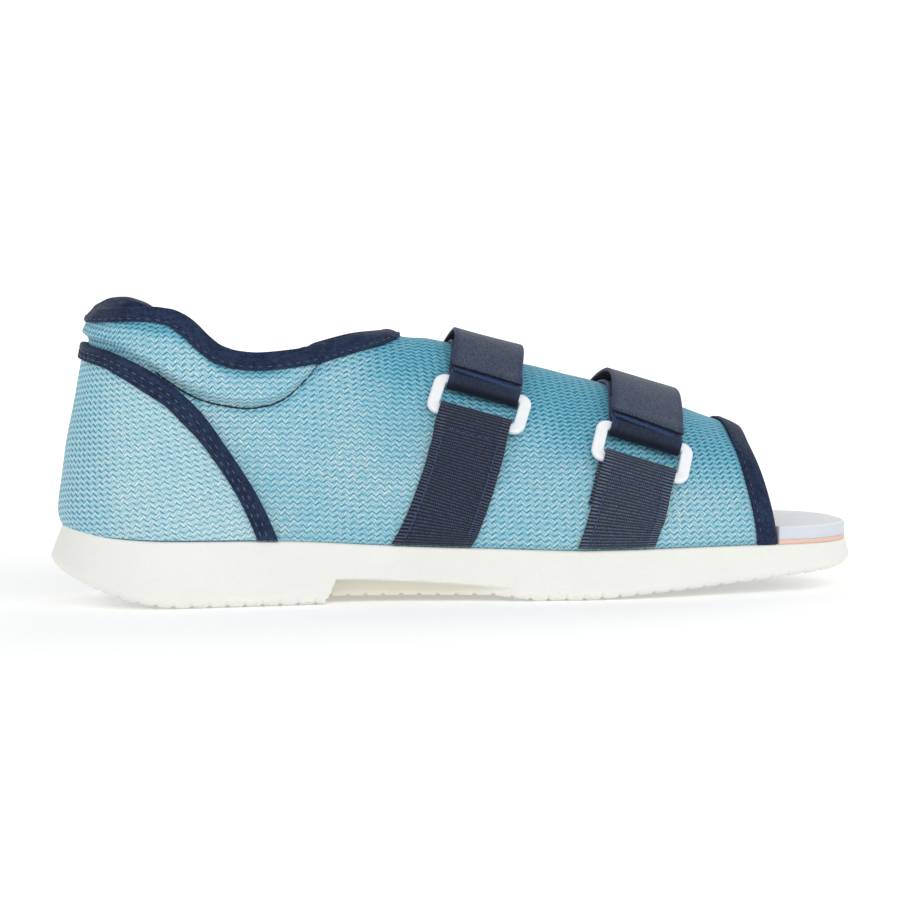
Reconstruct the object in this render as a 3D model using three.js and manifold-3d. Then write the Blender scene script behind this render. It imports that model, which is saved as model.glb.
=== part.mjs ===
// A post operative shoe that fits either foot: a moulded sole, an insole board and insole, an open-toed
// mesh upper with a padded collar, a heel counter, bound edges, and two straps that each run through
// a ring on both sides and double back over the instep.
// Millimetres. +X points to the toe, -Y is the side where the straps end, +Z is up, z = 0 is the floor.
import * as THREE from "three";
import { mergeVertices } from "three/addons/utils/BufferGeometryUtils.js";
import Module from "manifold-3d";

const wasm = await Module();
wasm.setup();

// Sole
const LENGTH = 278; // heel back to toe tip
const HEEL_WIDTH = 79;
const WAIST_WIDTH = 77;
const BALL_WIDTH = 106;
const TOE_WIDTH = 91; // where the rounded toe end starts
const HEEL_END = 39; // length of the rounded heel end
const TOE_END = 31; // length of the rounded toe end
const HEEL_HEIGHT = 22; // top of the sole under the heel
const FORE_HEIGHT = 16.8; // top of the sole under the ball and toe
const HEEL_BEVEL = 13.5; // rise of the underside at the heel back
const HEEL_BEVEL_LENGTH = 44;
const TOE_SPRING = 8.5; // rise of the underside at the toe tip
const TOE_SPRING_LENGTH = 102;
const TOE_SPRING_POWER = 1.15; // 1 would be a straight rise
const SIDE_DRAFT = 3.8; // the side leans in by this much at the heel back
const EDGE_ROUND = 2.4; // rounding of the lower edge
const TOP_LIP = 0.7; // bevel of the sole's top edge
const ARCH_RISE = 2; // the waist's underside stands clear of the floor
const ARCH_FRONT_RAMP = 14; // length of the slope from the waist down to the ball
const RECESS_HEIGHT = 8; // top of the cut in each side at the waist
const RECESS_DEPTH = 9; // how far that cut goes in at the heel
const GROOVE_PITCH = 6;
const GROOVE_WIDTH = 1.3;
const GROOVE_DEPTH = 0.8;

// Footbed
const BOARD_THICKNESS = 1.5;
const INSOLE_THICKNESS = 3.9;
const INSOLE_ROUND = 0.8;

// Upper
const WALL = 3; // laminated mesh
const CREST_HEIGHT = 70.5; // instep over the sole at the front of the collar, under the lap
const COLLAR_HEIGHT = 102; // highest point of the collar over the floor
const COLLAR_FRONT = -22.5; // x of the front of the collar opening
const COLLAR_PUFF = 1.9; // padding of the collar, outwards
const INNER_PUFF = 0.4; // share of the padding that swells inwards
const TOE_OPENING = 105.2; // x of the upper's front edge at the sole
const TOE_LEAN = 0.16; // backward lean of that edge, mm for each mm of height
const LAP = 1.5; // step where one half of the vamp laps over the other
const COUNTER_THICKNESS = 0.8;
const TAPE = 0.9; // thickness of the binding tape
const COLLAR_TAPE_WIDTH = 5.6;
const COLLAR_TAPE_GAP = 0.5; // its clearance outside and over the edge, where the facets stand out
const TOE_TAPE_WIDTH = 6.4;

// Straps
const STRAP_WIDTH = 25;
const WEBBING = 1.3; // thickness of the anchor webbing
const STRAP = 1.3; // thickness of the hook and loop strap
const HOOK = 0.9; // thickness of the hook patch
const RING_THICKNESS = 2.2;
const RING_BAR = 3.2;
const RING_SLOT = 10;
const RING_END = 4.1;
const RING_CORNER = 4;
const RING_HOLE_CORNER = 1.2;
const RING_BEVEL = 0.5;
const RING_SLACK = 0.7; // room between a ring's webbing and the upper
const FOLD_BACK = 17; // length of the webbing's folded end
const TAIL = 19; // length of the strap's folded end
const HOOK_LENGTH = 11;

const GAP = 0.3; // clearance between pieces that touch
const INSIDE_GAP = 0.7; // the same inside the upper's curve, where its flat facets stand in
const RAD = Math.PI / 180;

const shareX = (share) => (share - 0.5) * LENGTH;
const mix = (a, b, t) => a + (b - a) * t;
const clamp = (v, low, high) => Math.min(high, Math.max(low, v));
const signedPower = (v, power) => Math.sign(v) * Math.abs(v) ** power;
const smooth = (v) => clamp(v, 0, 1) ** 2 * (3 - 2 * clamp(v, 0, 1));
const steps = (from, to, count) => Array.from({ length: count + 1 }, (_, i) => mix(from, to, i / count));

// A smooth curve through the rows of a table, without overshoot between them.
function curve(rows, column) {
  const xs = rows.map((row) => row.at);
  const ys = rows.map((row) => row[column]);
  const slopes = xs.slice(1).map((x, i) => (ys[i + 1] - ys[i]) / (x - xs[i]));
  const tangents = ys.map((_, i) => {
    if (i === 0) return slopes[0];
    if (i === ys.length - 1) return slopes[i - 1];
    const [before, after] = [slopes[i - 1], slopes[i]];
    return before * after <= 0 ? 0 : (2 * before * after) / (before + after);
  });
  return (x) => {
    const last = xs.length - 1;
    if (x <= xs[0]) return ys[0];
    if (x >= xs[last]) return ys[last];
    const i = xs.findIndex((at, k) => k < last && x < xs[k + 1]);
    const width = xs[i + 1] - xs[i];
    const t = (x - xs[i]) / width;
    const rise = 3 * t * t - 2 * t * t * t;
    const start = t * (1 - t) * (1 - t) * width * tangents[i];
    const end = t * t * (t - 1) * width * tangents[i + 1];
    return mix(ys[i], ys[i + 1], rise) + start + end;
  };
}

// Plan of the sole: full width at each share of the length, before the ends are rounded.
const PLAN = [
  { at: 0, width: HEEL_WIDTH },
  { at: 0.15, width: HEEL_WIDTH },
  { at: 0.34, width: WAIST_WIDTH },
  { at: 0.5, width: mix(WAIST_WIDTH, BALL_WIDTH, 0.42) },
  { at: 0.68, width: BALL_WIDTH },
  { at: 0.89, width: TOE_WIDTH },
  { at: 1, width: TOE_WIDTH * 0.93 },
];
// Top of the sole: 0 is the forefoot's height and 1 the heel seat's.
const SOLE_TOP = [
  { at: 0, rise: 2.02 },
  { at: 0.06, rise: 1.38 },
  { at: 0.13, rise: 1.13 },
  { at: 0.27, rise: 0.96 },
  { at: 0.4, rise: 0.52 },
  { at: 0.5, rise: 0.27 },
  { at: 0.62, rise: 0 },
];
// Lean of the sole's side, as a share of SIDE_DRAFT.
const SIDE = [
  { at: 0, lean: 1 },
  { at: 0.15, lean: 0.8 },
  { at: 0.6, lean: 0.6 },
  { at: 1, lean: 0.26 },
];
const HEEL_SQUARE = 2.15; // 2 is an ellipse
const TOE_SQUARE = 2.5;
const HEEL_X = shareX(0) + HEEL_END; // the heel's ribs fan out from here
const TOE_X = shareX(1) - TOE_END;
const planWidth = curve(PLAN, "width");
const soleRise = curve(SOLE_TOP, "rise");
const sideLean = curve(SIDE, "lean");
const shareOf = (x) => x / LENGTH + 0.5;
const soleTop = (x) => mix(FORE_HEIGHT, HEEL_HEIGHT, soleRise(shareOf(x)));
const draft = (x) => SIDE_DRAFT * sideLean(shareOf(x));

// The underside: flat under the heel, bevelled behind it, and rising to the toe.
function soleBottom(x) {
  const back = clamp((shareX(0) + HEEL_BEVEL_LENGTH - x) / HEEL_BEVEL_LENGTH, 0, 1);
  const front = clamp((x - shareX(1) + TOE_SPRING_LENGTH) / TOE_SPRING_LENGTH, 0, 1);
  return HEEL_BEVEL * back ** 2 + TOE_SPRING * front ** TOE_SPRING_POWER;
}

// Stations go along one side from the heel back to the toe tip: an angle on a rounded end, or an x.
const heelStations = (count) => steps(90, 0, count).map((angle) => ({ heel: angle * RAD }));
const toeStations = (count) => steps(0, 90, count).map((angle) => ({ toe: angle * RAD }));
const sideStations = (from, to, count) => steps(from, to, count).map((x) => ({ x }));

function planPoint(station, inset) {
  const half = (x) => planWidth(shareOf(x)) / 2 - inset;
  if ("x" in station) return [station.x, half(station.x)];
  const heel = "heel" in station;
  const angle = heel ? station.heel : station.toe;
  const power = 2 / (heel ? HEEL_SQUARE : TOE_SQUARE);
  const reach = (heel ? HEEL_END : TOE_END) - inset;
  const along = reach * Math.abs(Math.sin(angle)) ** power;
  const x = heel ? HEEL_X - along : TOE_X + along;
  return [x, half(x) * signedPower(Math.cos(angle), power)];
}

// Triangles of a closed solid, kept as a list of corner positions.
class Soup {
  constructor() {
    this.corners = [];
  }
  triangle(a, b, c) {
    this.corners.push(...a, ...b, ...c);
  }
  quad(a, b, c, d) {
    this.triangle(a, b, c);
    this.triangle(a, c, d);
  }
  // Faces between two lists of points of the same length.
  strip(first, second) {
    for (let i = 0; i + 1 < first.length; i++) this.quad(first[i], first[i + 1], second[i + 1], second[i]);
  }
  geometry() {
    const soup = new THREE.BufferGeometry();
    soup.setAttribute("position", new THREE.Float32BufferAttribute(this.corners, 3));
    const merged = mergeVertices(soup, 1e-3);
    const index = merged.index.array;
    const kept = [];
    for (let i = 0; i < index.length; i += 3) {
      const [a, b, c] = [index[i], index[i + 1], index[i + 2]];
      if (a !== b && b !== c && a !== c) kept.push(a, b, c);
    }
    merged.setIndex(kept);
    return outward(merged);
  }
}

// Turns the faces round if they point inwards.
function outward(geometry) {
  const p = geometry.getAttribute("position");
  const index = geometry.index.array;
  const corner = (i) => new THREE.Vector3().fromBufferAttribute(p, index[i]);
  let volume = 0;
  for (let i = 0; i < index.length; i += 3) volume += corner(i).dot(corner(i + 1).cross(corner(i + 2)));
  if (volume > 0) return geometry;
  const turned = Array.from(index);
  for (let i = 0; i < turned.length; i += 3) [turned[i + 1], turned[i + 2]] = [turned[i + 2], turned[i + 1]];
  geometry.setIndex(turned);
  return geometry;
}

function toSolid(geometry) {
  const bare = new THREE.BufferGeometry();
  bare.setAttribute("position", geometry.getAttribute("position"));
  bare.setIndex(geometry.index);
  const merged = mergeVertices(bare, 1e-4);
  const triVerts = new Uint32Array(merged.index.array);
  return new wasm.Manifold(
    new wasm.Mesh({ numProp: 3, vertProperties: merged.attributes.position.array, triVerts }),
  );
}

function fromSolid(solid) {
  const mesh = solid.getMesh();
  const geometry = new THREE.BufferGeometry();
  geometry.setAttribute("position", new THREE.BufferAttribute(mesh.vertProperties, 3));
  geometry.setIndex(new THREE.BufferAttribute(mesh.triVerts, 1));
  return geometry;
}

// A slab that follows the shoe's plan. Each row gives an inset and a height for a station, from the
// bottom's edge to the top's edge; the bottom and top are straight across.
function planSlab(stations, rows) {
  const soup = new Soup();
  const loops = rows.map((row) => {
    const near = stations.map((station) => {
      const { inset, height } = row(station);
      const [x, y] = planPoint(station, inset);
      return [x, -Math.max(y, 0), height];
    });
    const far = near.map(([x, y, z]) => [x, -y, z]);
    return { near, far };
  });
  for (let i = 0; i + 1 < loops.length; i++) {
    soup.strip(loops[i].near, loops[i + 1].near);
    soup.strip(loops[i + 1].far, loops[i].far);
  }
  soup.strip(loops[0].far, loops[0].near);
  soup.strip(loops.at(-1).near, loops.at(-1).far);
  return soup.geometry();
}

// Outsole
const HEEL_BREAST = shareX(0.324);
const RECESS_FRONT = shareX(0.553);
const RECESS_FADE = 2.6; // power with which the recess runs out towards the ball
const RECESS_SLANT = 0.45; // lean of its rear end, for each mm of height

function buildOutsole() {
  const stations = [
    ...heelStations(10),
    ...sideStations(HEEL_X, TOE_X, 18).slice(1),
    ...toeStations(9).slice(1),
  ];
  const at = (station, inset) => planPoint(station, inset)[0];
  const row = (insetOf, heightOf) => (station) => {
    const inset = insetOf(at(station, 0));
    return { inset, height: heightOf(at(station, inset)) };
  };
  const side = (share) => (x) => mix(soleBottom(x) + EDGE_ROUND * 1.5, soleTop(x), share);
  let sole = toSolid(
    planSlab(stations, [
      row(() => EDGE_ROUND * 1.4, soleBottom),
      row(() => EDGE_ROUND * 0.3, (x) => soleBottom(x) + EDGE_ROUND * 0.7),
      row(() => 0, side(0)),
      row((x) => draft(x) - TOP_LIP * 0.3, (x) => soleTop(x) - TOP_LIP),
      row((x) => draft(x) + TOP_LIP * 0.4, soleTop),
    ]),
  );
  sole = sole.subtract(archCutter());
  for (const far of [false, true]) sole = sole.subtract(recessCutter(far));
  for (const x of grooveStations()) sole = sole.subtract(groove(x));
  return fromSolid(sole);
}

// Height of the underside once the waist is cut.
function treadHeight(x) {
  const ramp = clamp((RECESS_FRONT + ARCH_FRONT_RAMP / 2 - x) / ARCH_FRONT_RAMP, 0, 1);
  return x > HEEL_BREAST ? Math.max(soleBottom(x), ARCH_RISE * ramp) : soleBottom(x);
}

function archCutter() {
  const shape = new THREE.Shape();
  const low = -ARCH_RISE;
  shape.moveTo(HEEL_BREAST, low);
  shape.lineTo(HEEL_BREAST, ARCH_RISE);
  shape.lineTo(RECESS_FRONT - ARCH_FRONT_RAMP / 2, ARCH_RISE);
  shape.lineTo(RECESS_FRONT + ARCH_FRONT_RAMP / 2, 0);
  shape.lineTo(RECESS_FRONT + ARCH_FRONT_RAMP / 2, low);
  const geometry = new THREE.ExtrudeGeometry(shape, { depth: 2 * BALL_WIDTH, bevelEnabled: false });
  geometry.rotateX(90 * RAD);
  geometry.translate(0, BALL_WIDTH, 0);
  return toSolid(cleaned(geometry));
}

// The cut in the side at the waist: deep at the heel, running out towards the ball.
function recessCutter(far) {
  const soup = new Soup();
  const back = HEEL_BREAST + ARCH_RISE;
  const slant = RECESS_HEIGHT * RECESS_SLANT;
  const outside = BALL_WIDTH;
  const rows = steps(0, 1, 10).map((t) => {
    const x = mix(back, RECESS_FRONT, t);
    const depth = RECESS_DEPTH * (1 - t ** RECESS_FADE);
    const inner = planWidth(shareOf(x)) / 2 - depth;
    const top = mix(RECESS_HEIGHT, soleBottom(x) + EDGE_ROUND * 1.8, t ** 1.5);
    const lift = slant * (1 - t);
    const point = (y, z, dx) => [x + dx, far ? y : -y, z];
    return [
      point(inner, -ARCH_RISE, -lift * 0.5),
      point(outside, -ARCH_RISE, -lift * 0.5),
      point(outside, top, lift * 0.5),
      point(inner, top, lift * 0.5),
    ];
  });
  for (let i = 0; i + 1 < rows.length; i++) {
    for (let k = 0; k < 4; k++) {
      const next = (k + 1) % 4;
      soup.quad(rows[i][k], rows[i][next], rows[i + 1][next], rows[i + 1][k]);
    }
  }
  soup.quad(...[...rows[0]].reverse());
  soup.quad(...rows.at(-1));
  return toSolid(soup.geometry());
}

function grooveStations() {
  const first = shareX(0) + HEEL_BEVEL_LENGTH / 3;
  const last = shareX(1) - TOE_END / 2;
  const count = Math.floor((last - first) / GROOVE_PITCH);
  const all = Array.from({ length: count + 1 }, (_, i) => first + i * GROOVE_PITCH);
  return all.filter((x) => Math.abs(x - HEEL_BREAST) > GROOVE_WIDTH * 1.5);
}

function groove(x) {
  const tall = 4 * GROOVE_DEPTH;
  const box = new THREE.BoxGeometry(GROOVE_WIDTH, 2 * BALL_WIDTH, tall);
  box.translate(x, 0, treadHeight(x) + GROOVE_DEPTH - tall / 2);
  return toSolid(cleaned(box));
}

// Only positions are left, and shared corners are merged.
function cleaned(geometry) {
  const soup = new Soup();
  const loose = geometry.index ? geometry.toNonIndexed() : geometry;
  soup.corners = Array.from(loose.getAttribute("position").array);
  return soup.geometry();
}

// The upper's form. A rib stands on the sole's plan at u: an x along the side, or the way round the
// heel. Its angle goes from 0 at the sole on the -Y side, over the crest at 90 degrees, to 180.
const U_BACK = HEEL_X - HEEL_END * 90 * RAD;
const FEATHER = 1.6; // the upper's foot stands this far inside the sole's top edge
const SECTIONS = [
  // at: share of the length from the middle. crest: share of CREST_HEIGHT. rise and side are the
  // powers of height and half width, 2 for an ellipse. bulge: mm that the side swells over its foot.
  { at: -0.58, crest: 1.56, rise: 1.37, side: 2, bulge: 2.4 },
  { at: -0.47, crest: 1.64, rise: 1.46, side: 2, bulge: 2 },
  { at: -0.36, crest: 1.77, rise: 1.6, side: 2, bulge: 1.6 },
  { at: -0.31, crest: 1.7, rise: 1.65, side: 2, bulge: 1.5 },
  { at: -0.252, crest: 1.56, rise: 1.75, side: 1.9, bulge: 1.5 },
  { at: -0.205, crest: 1.44, rise: 1.85, side: 1.8, bulge: 1.5 },
  { at: -0.169, crest: 1.29, rise: 1.95, side: 1.7, bulge: 1.5 },
  { at: -0.133, crest: 1.145, rise: 2.1, side: 1.6, bulge: 1.5 },
  { at: -0.108, crest: 1.066, rise: 2.25, side: 1.55, bulge: 1.5 },
  { at: -0.0935, crest: 1.03, rise: 2.32, side: 1.5, bulge: 1.5 },
  { at: -0.081, crest: 1.008, rise: 2.36, side: 1.5, bulge: 1.5 },
  { at: -0.058, crest: 0.994, rise: 2.4, side: 1.5, bulge: 1.5 },
  { at: -0.01, crest: 0.955, rise: 2.4, side: 1.5, bulge: 1.6 },
  { at: 0.027, crest: 0.918, rise: 2.4, side: 1.53, bulge: 1.7 },
  { at: 0.141, crest: 0.811, rise: 2.45, side: 1.8, bulge: 2 },
  { at: 0.243, crest: 0.688, rise: 2.5, side: 2, bulge: 2.2 },
  { at: 0.307, crest: 0.606, rise: 2.45, side: 2, bulge: 2.4 },
  { at: 0.36, crest: 0.522, rise: 2.4, side: 2, bulge: 2.5 },
  { at: 0.385, crest: 0.48, rise: 2.4, side: 2, bulge: 2.5 },
];
const BULGE_HEIGHT = 10; // the sides are widest this far over the sole
const crestShare = curve(SECTIONS, "crest");
const risePower = curve(SECTIONS, "rise");
const sidePower = curve(SECTIONS, "side");
const bulgeAt = curve(SECTIONS, "bulge");

// Collar: height of its edge and of the seam under its padding, as shares of COLLAR_HEIGHT, and width
// of its tape as a share of COLLAR_TAPE_WIDTH. Here at goes from 0 at the front of the opening to 1
// at the heel back.
const TOPLINE = [
  { at: 0, near: 0.885, far: 0.885, tape: 1 },
  { at: 0.06, near: 0.88, far: 0.876, tape: 1 },
  { at: 0.139, near: 0.863, far: 0.848, tape: 1 },
  { at: 0.239, near: 0.834, far: 0.806, tape: 1 },
  { at: 0.337, near: 0.826, far: 0.798, tape: 1 },
  { at: 0.385, near: 0.832, far: 0.804, tape: 1 },
  { at: 0.427, near: 0.85, far: 0.82, tape: 1 },
  { at: 0.46, near: 0.883, far: 0.852, tape: 1 },
  { at: 0.499, near: 0.937, far: 0.898, tape: 1 },
  { at: 0.523, near: 0.96, far: 0.928, tape: 0.95 },
  { at: 0.552, near: 0.976, far: 0.963, tape: 0.86 },
  { at: 0.604, near: 0.983, far: 0.994, tape: 0.76 },
  { at: 0.68, near: 0.982, far: 1.01, tape: 0.74 },
  { at: 0.76, near: 0.98, far: 1.006, tape: 0.74 },
  { at: 0.86, near: 0.978, far: 0.994, tape: 0.74 },
  { at: 1, near: 0.977, far: 0.977, tape: 0.74 },
];
const COLLAR_SEAM = [
  { at: 0, height: 0.9 },
  { at: 0.12, height: 0.9 },
  { at: 0.16, height: 0.858 },
  { at: 0.18, height: 0.812 },
  { at: 0.202, height: 0.771 },
  { at: 0.235, height: 0.728 },
  { at: 0.277, height: 0.683 },
  { at: 0.32, height: 0.662 },
  { at: 0.364, height: 0.655 },
  { at: 0.442, height: 0.671 },
  { at: 0.484, height: 0.689 },
  { at: 0.527, height: 0.72 },
  { at: 0.569, height: 0.759 },
  { at: 0.607, height: 0.79 },
  { at: 0.687, height: 0.838 },
  { at: 0.795, height: 0.873 },
  { at: 1, height: 0.893 },
];
const toplineNear = curve(TOPLINE, "near");
const toplineFar = curve(TOPLINE, "far");
const tapeShare = curve(TOPLINE, "tape");
const seamHeight = curve(COLLAR_SEAM, "height");
const collarShare = (u) => (COLLAR_FRONT - u) / (COLLAR_FRONT - U_BACK);
const collarTop = (u, far) => COLLAR_HEIGHT * (far ? toplineFar : toplineNear)(collarShare(u));
const collarSeam = (u) => COLLAR_HEIGHT * seamHeight(collarShare(u));

function ribFoot(u) {
  const inset = (x) => draft(x) + FEATHER;
  if (u >= HEEL_X) return { x: u, y: planPoint({ x: u }, inset(u))[1], fan: false };
  const station = { heel: (HEEL_X - u) / HEEL_END };
  const outer = planPoint(station, 0)[0];
  const [x, y] = planPoint(station, inset(outer));
  return { x, y, fan: true };
}
const footHeight = (u) => soleTop(ribFoot(u).x) + GAP;

// Padding outside the plain form, from the collar's seam up to its edge.
const PUFF_ROOM = 12; // where seam and edge are closer than this the padding is thinner
const PUFF_FULL = 0.2; // share of the way up at which it is full
function puff(u, z, far) {
  const seam = collarSeam(u);
  const top = collarTop(u, far);
  if (u > COLLAR_FRONT || z <= seam || top - seam < 1) return 0;
  const t = clamp((z - seam) / (top - seam), 0, 1);
  const room = clamp((top - seam) / PUFF_ROOM, 0, 1);
  return COLLAR_PUFF * room * smooth(t / PUFF_FULL) * (1 - 0.9 * smooth((t - 0.5) / 0.5));
}

// The near half of the vamp laps over the far half, and ends in a step on the far side.
const LAP_ANGLE = 118 * RAD;
const LAP_STEP = 2 * RAD;
const LAP_RAMP = 16 * RAD; // what lies over the step comes down this gently
const LAP_FADE = 10;
const LAP_START = 56 * RAD; // the lapping half thickens from here,
const LAP_GROWTH = 24 * RAD; // over this much of the rib
function lap(u, angle, ramp) {
  const rise = smooth((angle - LAP_START) / LAP_GROWTH);
  const fall = clamp((LAP_ANGLE + ramp - angle) / ramp, 0, 1);
  return LAP * smooth((u - COLLAR_FRONT - COLLAR_TAPE_WIDTH) / LAP_FADE) * Math.min(rise, fall);
}

// A point on the plain form, before any offset.
function formPoint(u, angle) {
  const foot = ribFoot(u);
  const base = soleTop(foot.x) + GAP;
  const share = u / LENGTH;
  const up = CREST_HEIGHT * crestShare(share) * Math.abs(Math.sin(angle)) ** (2 / risePower(share));
  const swell = bulgeAt(share) * (up / BULGE_HEIGHT) * Math.exp(1 - up / BULGE_HEIGHT);
  const reach = Math.abs(Math.cos(angle)) ** (2 / sidePower(share));
  const side = Math.cos(angle) >= 0 ? -1 : 1;
  const along = foot.fan ? HEEL_X - foot.x : 0;
  const grow = reach + (swell / Math.hypot(along, foot.y)) * Math.min(1, reach * 3);
  const x = foot.fan ? HEEL_X - along * grow : foot.x;
  return new THREE.Vector3(x, side * foot.y * grow, base + up);
}

function formNormal(u, angle) {
  const du = 0.4;
  const da = 0.6 * RAD;
  const low = Math.max(angle - da, 0.05 * RAD);
  const high = Math.min(angle + da, 179.95 * RAD);
  const alongU = formPoint(u + du, angle).sub(formPoint(u - du, angle));
  const alongA = formPoint(u, high).sub(formPoint(u, low));
  const normal = alongU.cross(alongA).normalize();
  const middle = formPoint(u, angle);
  const out = new THREE.Vector3(Math.min(middle.x - HEEL_X, 0), middle.y, 1);
  if (normal.dot(out) < 0) normal.negate();
  normal.z = Math.max(normal.z, 0);
  return normal.normalize();
}

// Points off the upper: from its plain form, its outer face, and a face that smooths over the lap.
const plainFace = (u, angle, offset) => formPoint(u, angle).addScaledVector(formNormal(u, angle), offset);
function outerFace(u, angle, offset) {
  const far = angle > 90 * RAD;
  return plainFace(u, angle, offset + puff(u, formPoint(u, angle).z, far) + lap(u, angle, LAP_STEP));
}
const smoothFace = (u, angle, offset) => plainFace(u, angle, offset + lap(u, angle, LAP_RAMP));
function innerFace(u, angle, offset) {
  const far = angle > 90 * RAD;
  const padding = INNER_PUFF * puff(u, formPoint(u, angle).z, far);
  return plainFace(u, angle, -WALL - padding - offset);
}

// The angle at which the rib at u reaches a height, on the near side.
function angleAt(u, z) {
  const share = u / LENGTH;
  const up = clamp((z - footHeight(u)) / (CREST_HEIGHT * crestShare(share)), 0, 1);
  return Math.asin(up ** (risePower(share) / 2));
}

const toArray = (v) => [v.x, v.y, v.z];
const sideAngle = (angle, far) => (far ? 180 * RAD - angle : angle);

// Stations round the collar on one side, from its front to the heel back.
const collarStations = (collar, heel) => [
  ...steps(0, 1, collar).map((t) => mix(COLLAR_FRONT, HEEL_X, t ** 1.6)),
  ...steps(0, 90, heel).slice(1).map((angle) => HEEL_X - HEEL_END * angle * RAD),
];
const COLLAR_STEPS = 12;
const HEEL_STEPS = 8;
const upperStations = () => [
  TOE_OPENING,
  ...steps(TOE_OPENING - TOE_TAPE_WIDTH, COLLAR_FRONT + COLLAR_TAPE_WIDTH * 1.3, 10),
  ...collarStations(COLLAR_STEPS, HEEL_STEPS),
];

// The front edge leans back, so the ribs near it lean with it.
function leaned(u, angle) {
  const near = clamp((u - COLLAR_FRONT) / (TOE_OPENING - COLLAR_FRONT), 0, 1);
  return u - TOE_LEAN * near ** 2 * (formPoint(u, angle).z - footHeight(u));
}

const topAngle = (u, far) => (u >= COLLAR_FRONT ? 90 * RAD : angleAt(u, collarTop(u, far)));

// Angles of a rib's points on one side. One of them follows the lap's edge, or the collar's seam.
const LOWER_ROWS = 7;
const UPPER_ROWS = [0.13, 0.45, 0.8, 1];
const ROW_CROWDING = 1.6; // rows lie closer together towards the sole
function ribAngles(u, far) {
  const top = topAngle(u, far);
  const fold = (180 * RAD - LAP_ANGLE) / (90 * RAD);
  const seam = clamp(angleAt(u, collarSeam(u)) / top, 0.3, 0.93);
  const blend = smooth((COLLAR_FRONT - u) / LAP_FADE);
  const split = mix(fold, seam, blend);
  const step = LAP_STEP / (90 * RAD);
  const lower = steps(0, 1, LOWER_ROWS).map((t) => (split - step) * t ** ROW_CROWDING);
  const upper = UPPER_ROWS.map((t) => mix(split, 1, t));
  return [...lower, split, ...upper].map((share) => sideAngle(share * top, far));
}

function buildUpper() {
  const soup = new Soup();
  const side = (far) =>
    upperStations().map((u) => {
      const open = u < COLLAR_FRONT;
      const points = ribAngles(u, far).map((angle) => {
        const at = leaned(u, angle);
        const inner = innerFace(at, angle, 0);
        inner.z = Math.max(inner.z, soleTop(inner.x) + GAP);
        return { outer: toArray(outerFace(at, angle, 0)), inner: toArray(inner) };
      });
      if (!open) points.at(-1).outer[1] = points.at(-1).inner[1] = 0;
      return { open, outer: points.map((p) => p.outer), inner: points.map((p) => p.inner) };
    });
  const near = side(false);
  const far = side(true);
  // Both sides share the rib at the heel back.
  const loop = [...near, ...far.slice(0, -1).reverse()];
  for (let i = 0; i + 1 < loop.length; i++) {
    const [here, next] = [loop[i], loop[i + 1]];
    soup.strip(here.outer, next.outer);
    soup.strip(next.inner, here.inner);
    soup.quad(here.outer[0], next.outer[0], next.inner[0], here.inner[0]);
    if (!here.open && !next.open) continue;
    soup.quad(next.outer.at(-1), here.outer.at(-1), here.inner.at(-1), next.inner.at(-1));
  }
  soup.strip(loop[0].inner, loop[0].outer);
  soup.strip(loop.at(-1).outer, loop.at(-1).inner);
  return soup.geometry();
}

// Heel counter: a panel over the heel, whose front edge is covered by a bound tape. Each row gives the
// tape's lower and upper edge: u in shares of the length, height in shares of COLLAR_HEIGHT.
const COUNTER = [
  { at: 0, lowU: -0.5802, low: 0.822, highU: -0.5802, high: 0.876 },
  { at: 0.22, lowU: -0.482, low: 0.797, highU: -0.478, high: 0.853 },
  { at: 0.34, lowU: -0.43, low: 0.757, highU: -0.424, high: 0.822 },
  { at: 0.43, lowU: -0.392, low: 0.709, highU: -0.384, high: 0.782 },
  { at: 0.5, lowU: -0.366, low: 0.668, highU: -0.357, high: 0.737 },
  { at: 0.555, lowU: -0.345, low: 0.608, highU: -0.338, high: 0.69 },
  { at: 0.615, lowU: -0.324, low: 0.545, highU: -0.319, high: 0.633 },
  { at: 0.685, lowU: -0.3076, low: 0.482, highU: -0.3, high: 0.559 },
  { at: 0.76, lowU: -0.291, low: 0.411, highU: -0.2817, high: 0.481 },
  { at: 0.835, lowU: -0.2763, low: 0.339, highU: -0.263, high: 0.398 },
  { at: 0.915, lowU: -0.2637, low: 0.262, highU: -0.246, high: 0.308 },
  { at: 1, lowU: -0.2565, low: 0.21, highU: -0.231, high: 0.21 },
];
const counterCurves = Object.fromEntries(
  ["lowU", "low", "highU", "high"].map((column) => [column, curve(COUNTER, column)]),
);

// A point across the counter's tape: across is 0 at its lower edge and 1 at its upper edge.
function counterPlace(along, across) {
  const c = counterCurves;
  const u = LENGTH * mix(c.lowU(along), c.highU(along), across);
  const floor = soleTop(ribFoot(Math.max(u, U_BACK)).x) + 2 * GAP;
  const z = COLLAR_HEIGHT * mix(c.low(along), c.high(along), across);
  return { u: Math.max(u, U_BACK), z: along < 1 ? Math.max(z, floor) : floor };
}

// A closed ribbon: each station has the same closed list of points; the ends are capped.
function sweep(stations, closed = false) {
  const soup = new Soup();
  const count = stations.length;
  const ring = stations.map((points) => [...points, points[0]]);
  for (let i = 0; i + 1 < count; i++) soup.strip(ring[i], ring[i + 1]);
  if (closed) {
    soup.strip(ring[count - 1], ring[0]);
  } else {
    cap(soup, stations[0], true);
    cap(soup, stations[count - 1], false);
  }
  return soup.geometry();
}

// Caps a ribbon whose points run out along one face and back along the other.
function cap(soup, points, flip) {
  const last = points.length - 1;
  for (let i = 0; i < Math.floor(last / 2); i++) {
    const [a, b, c, d] = [points[i], points[i + 1], points[last - i - 1], points[last - i]];
    if (flip) soup.quad(d, c, b, a);
    else soup.quad(a, b, c, d);
  }
}

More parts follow.
